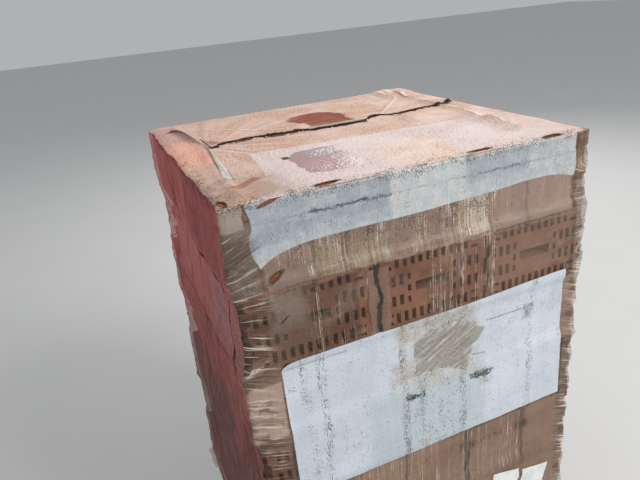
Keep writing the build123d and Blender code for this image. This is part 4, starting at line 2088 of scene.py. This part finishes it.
        # Puddle
        wavy = fine.sway(0.035) + x
        pool = (
            s.box(wavy, y + ragged * 0.4, (-0.238, -0.099, -0.374, -0.158), 0.003)
            & (wavy + 0.045 - y).step(0.0, 0.006) & (y + wavy * 0.5).step(-0.478, -0.470)
        )
        coat.paint(self.puddle, pool, 0.9)
        coat.paint(srgb(176, 168, 172), pool, s.box(wavy, y, (-0.17, -0.12, -0.20, -0.16), 0.03), 0.5)
        flecks = s.specks(s.at, 85.0, s.box(x, y, (-0.17, -0.12, -0.235, -0.175), 0.01) * 0.35)
        coat.paint(srgb(244, 240, 238), flecks, s.box(x, y, (-0.175, -0.115, -0.24, -0.17), 0.01), 0.9)
        # Rust streak and dirt at the near left corner, black tick by the puddle
        turned_x, turned_y, _ = s.split(s.stretch(s.at, (1.0, 1.0, 1.0), -0.72))
        place = (-0.565, -0.478, -0.018, -0.001)
        streak = s.box(turned_x + ragged * 0.2, turned_y + fine_ragged, place, 0.006)
        coat.paint(srgb(184, 106, 64), streak, 0.9)
        grime = s.box(wavy_x, wavy_y, (-0.47, -0.33, -0.44, -0.31), 0.06)
        coat.paint(srgb(142, 120, 96), grime, s.blotches(s.at, 0.52), 0.5)
        tick = s.box(x + fine_ragged, y + ragged * 0.25, (-0.248, -0.234, -0.208, -0.188), 0.005)
        coat.paint(srgb(36, 26, 22), tick, 0.95)
        # Slit with dark ragged lips: the near-black along it is partly dirt and partly painted shadow of the
        # raised lip over the gap
        start, end = self.slit[0][0], self.slit[-1][0]
        away = abs(y + ragged * 0.16 - (s.curve(x, self.slit) + 0.012))
        extent = x.step(start - 0.006, start) * x.step(end + 0.006, end)
        jagged = s.noise(s.stretch(s.at, (1.0, 0.3, 1.0)), 95.0, 2.0, 0.7)
        heavy = (fine * 0.5 + jagged * 0.5).step(0.36, 0.62, 0.001, 0.018)
        dark = (away - (heavy + fine_ragged)).step(0.003, -0.002) * extent
        coat.paint(srgb(24, 18, 15), dark, 0.97)
        coat.paint(srgb(142, 122, 104), away.step(0.030, 0.010) * extent, fine.step(0.4, 0.7), 0.45)
        # Notch and wedge at the slit's left end
        notch_x = (y - 0.05).scaled(-0.045, -0.372)
        notch = (abs(x - notch_x) + fine_ragged).step(0.006, 0.002)
        coat.paint(srgb(44, 34, 28), notch, s.box(x, y, (-0.40, -0.35, 0.05, 0.168), 0.01), 0.9)
        wedge = (x - notch_x).step(0.0, 0.008) & (x * 1.6 + y).step(-0.425, -0.44) & y.step(0.084, 0.095)
        coat.paint(srgb(172, 118, 92), wedge * y.step(0.165, 0.135), x.step(-0.40, -0.39), 0.8)
        coat.alpha = cloud.step(0.3, 0.7, 0.90, 0.84)
        coat.thicken(highest([printed, pool, dark, oval]), 0.98)
        return coat, pool * 0.8, dark | oval * 0.85


def main() -> None:
    """Build everything, in order."""
    logging.basicConfig(level=logging.INFO, format="%(message)s")
    load = Load()
    effects = Effects()
    Studio(effects).build()
    hood = FilmHood(load)
    dress_layers(effects, load, hood)
    dress_pallet(effects)
    film = hood.build()
    finish = FilmFinish(width=hood.width, slit=hood.slit, tears=hood.tears)
    for zone in Zone:
        film.data.materials.append(finish.material(f"weathered_film_{zone.name.lower()}", effects, zone))
    keep(film, "shrink_film", "shrink_film")
    Scraps(hood, effects).build()


if __name__ == "__main__":
    main()
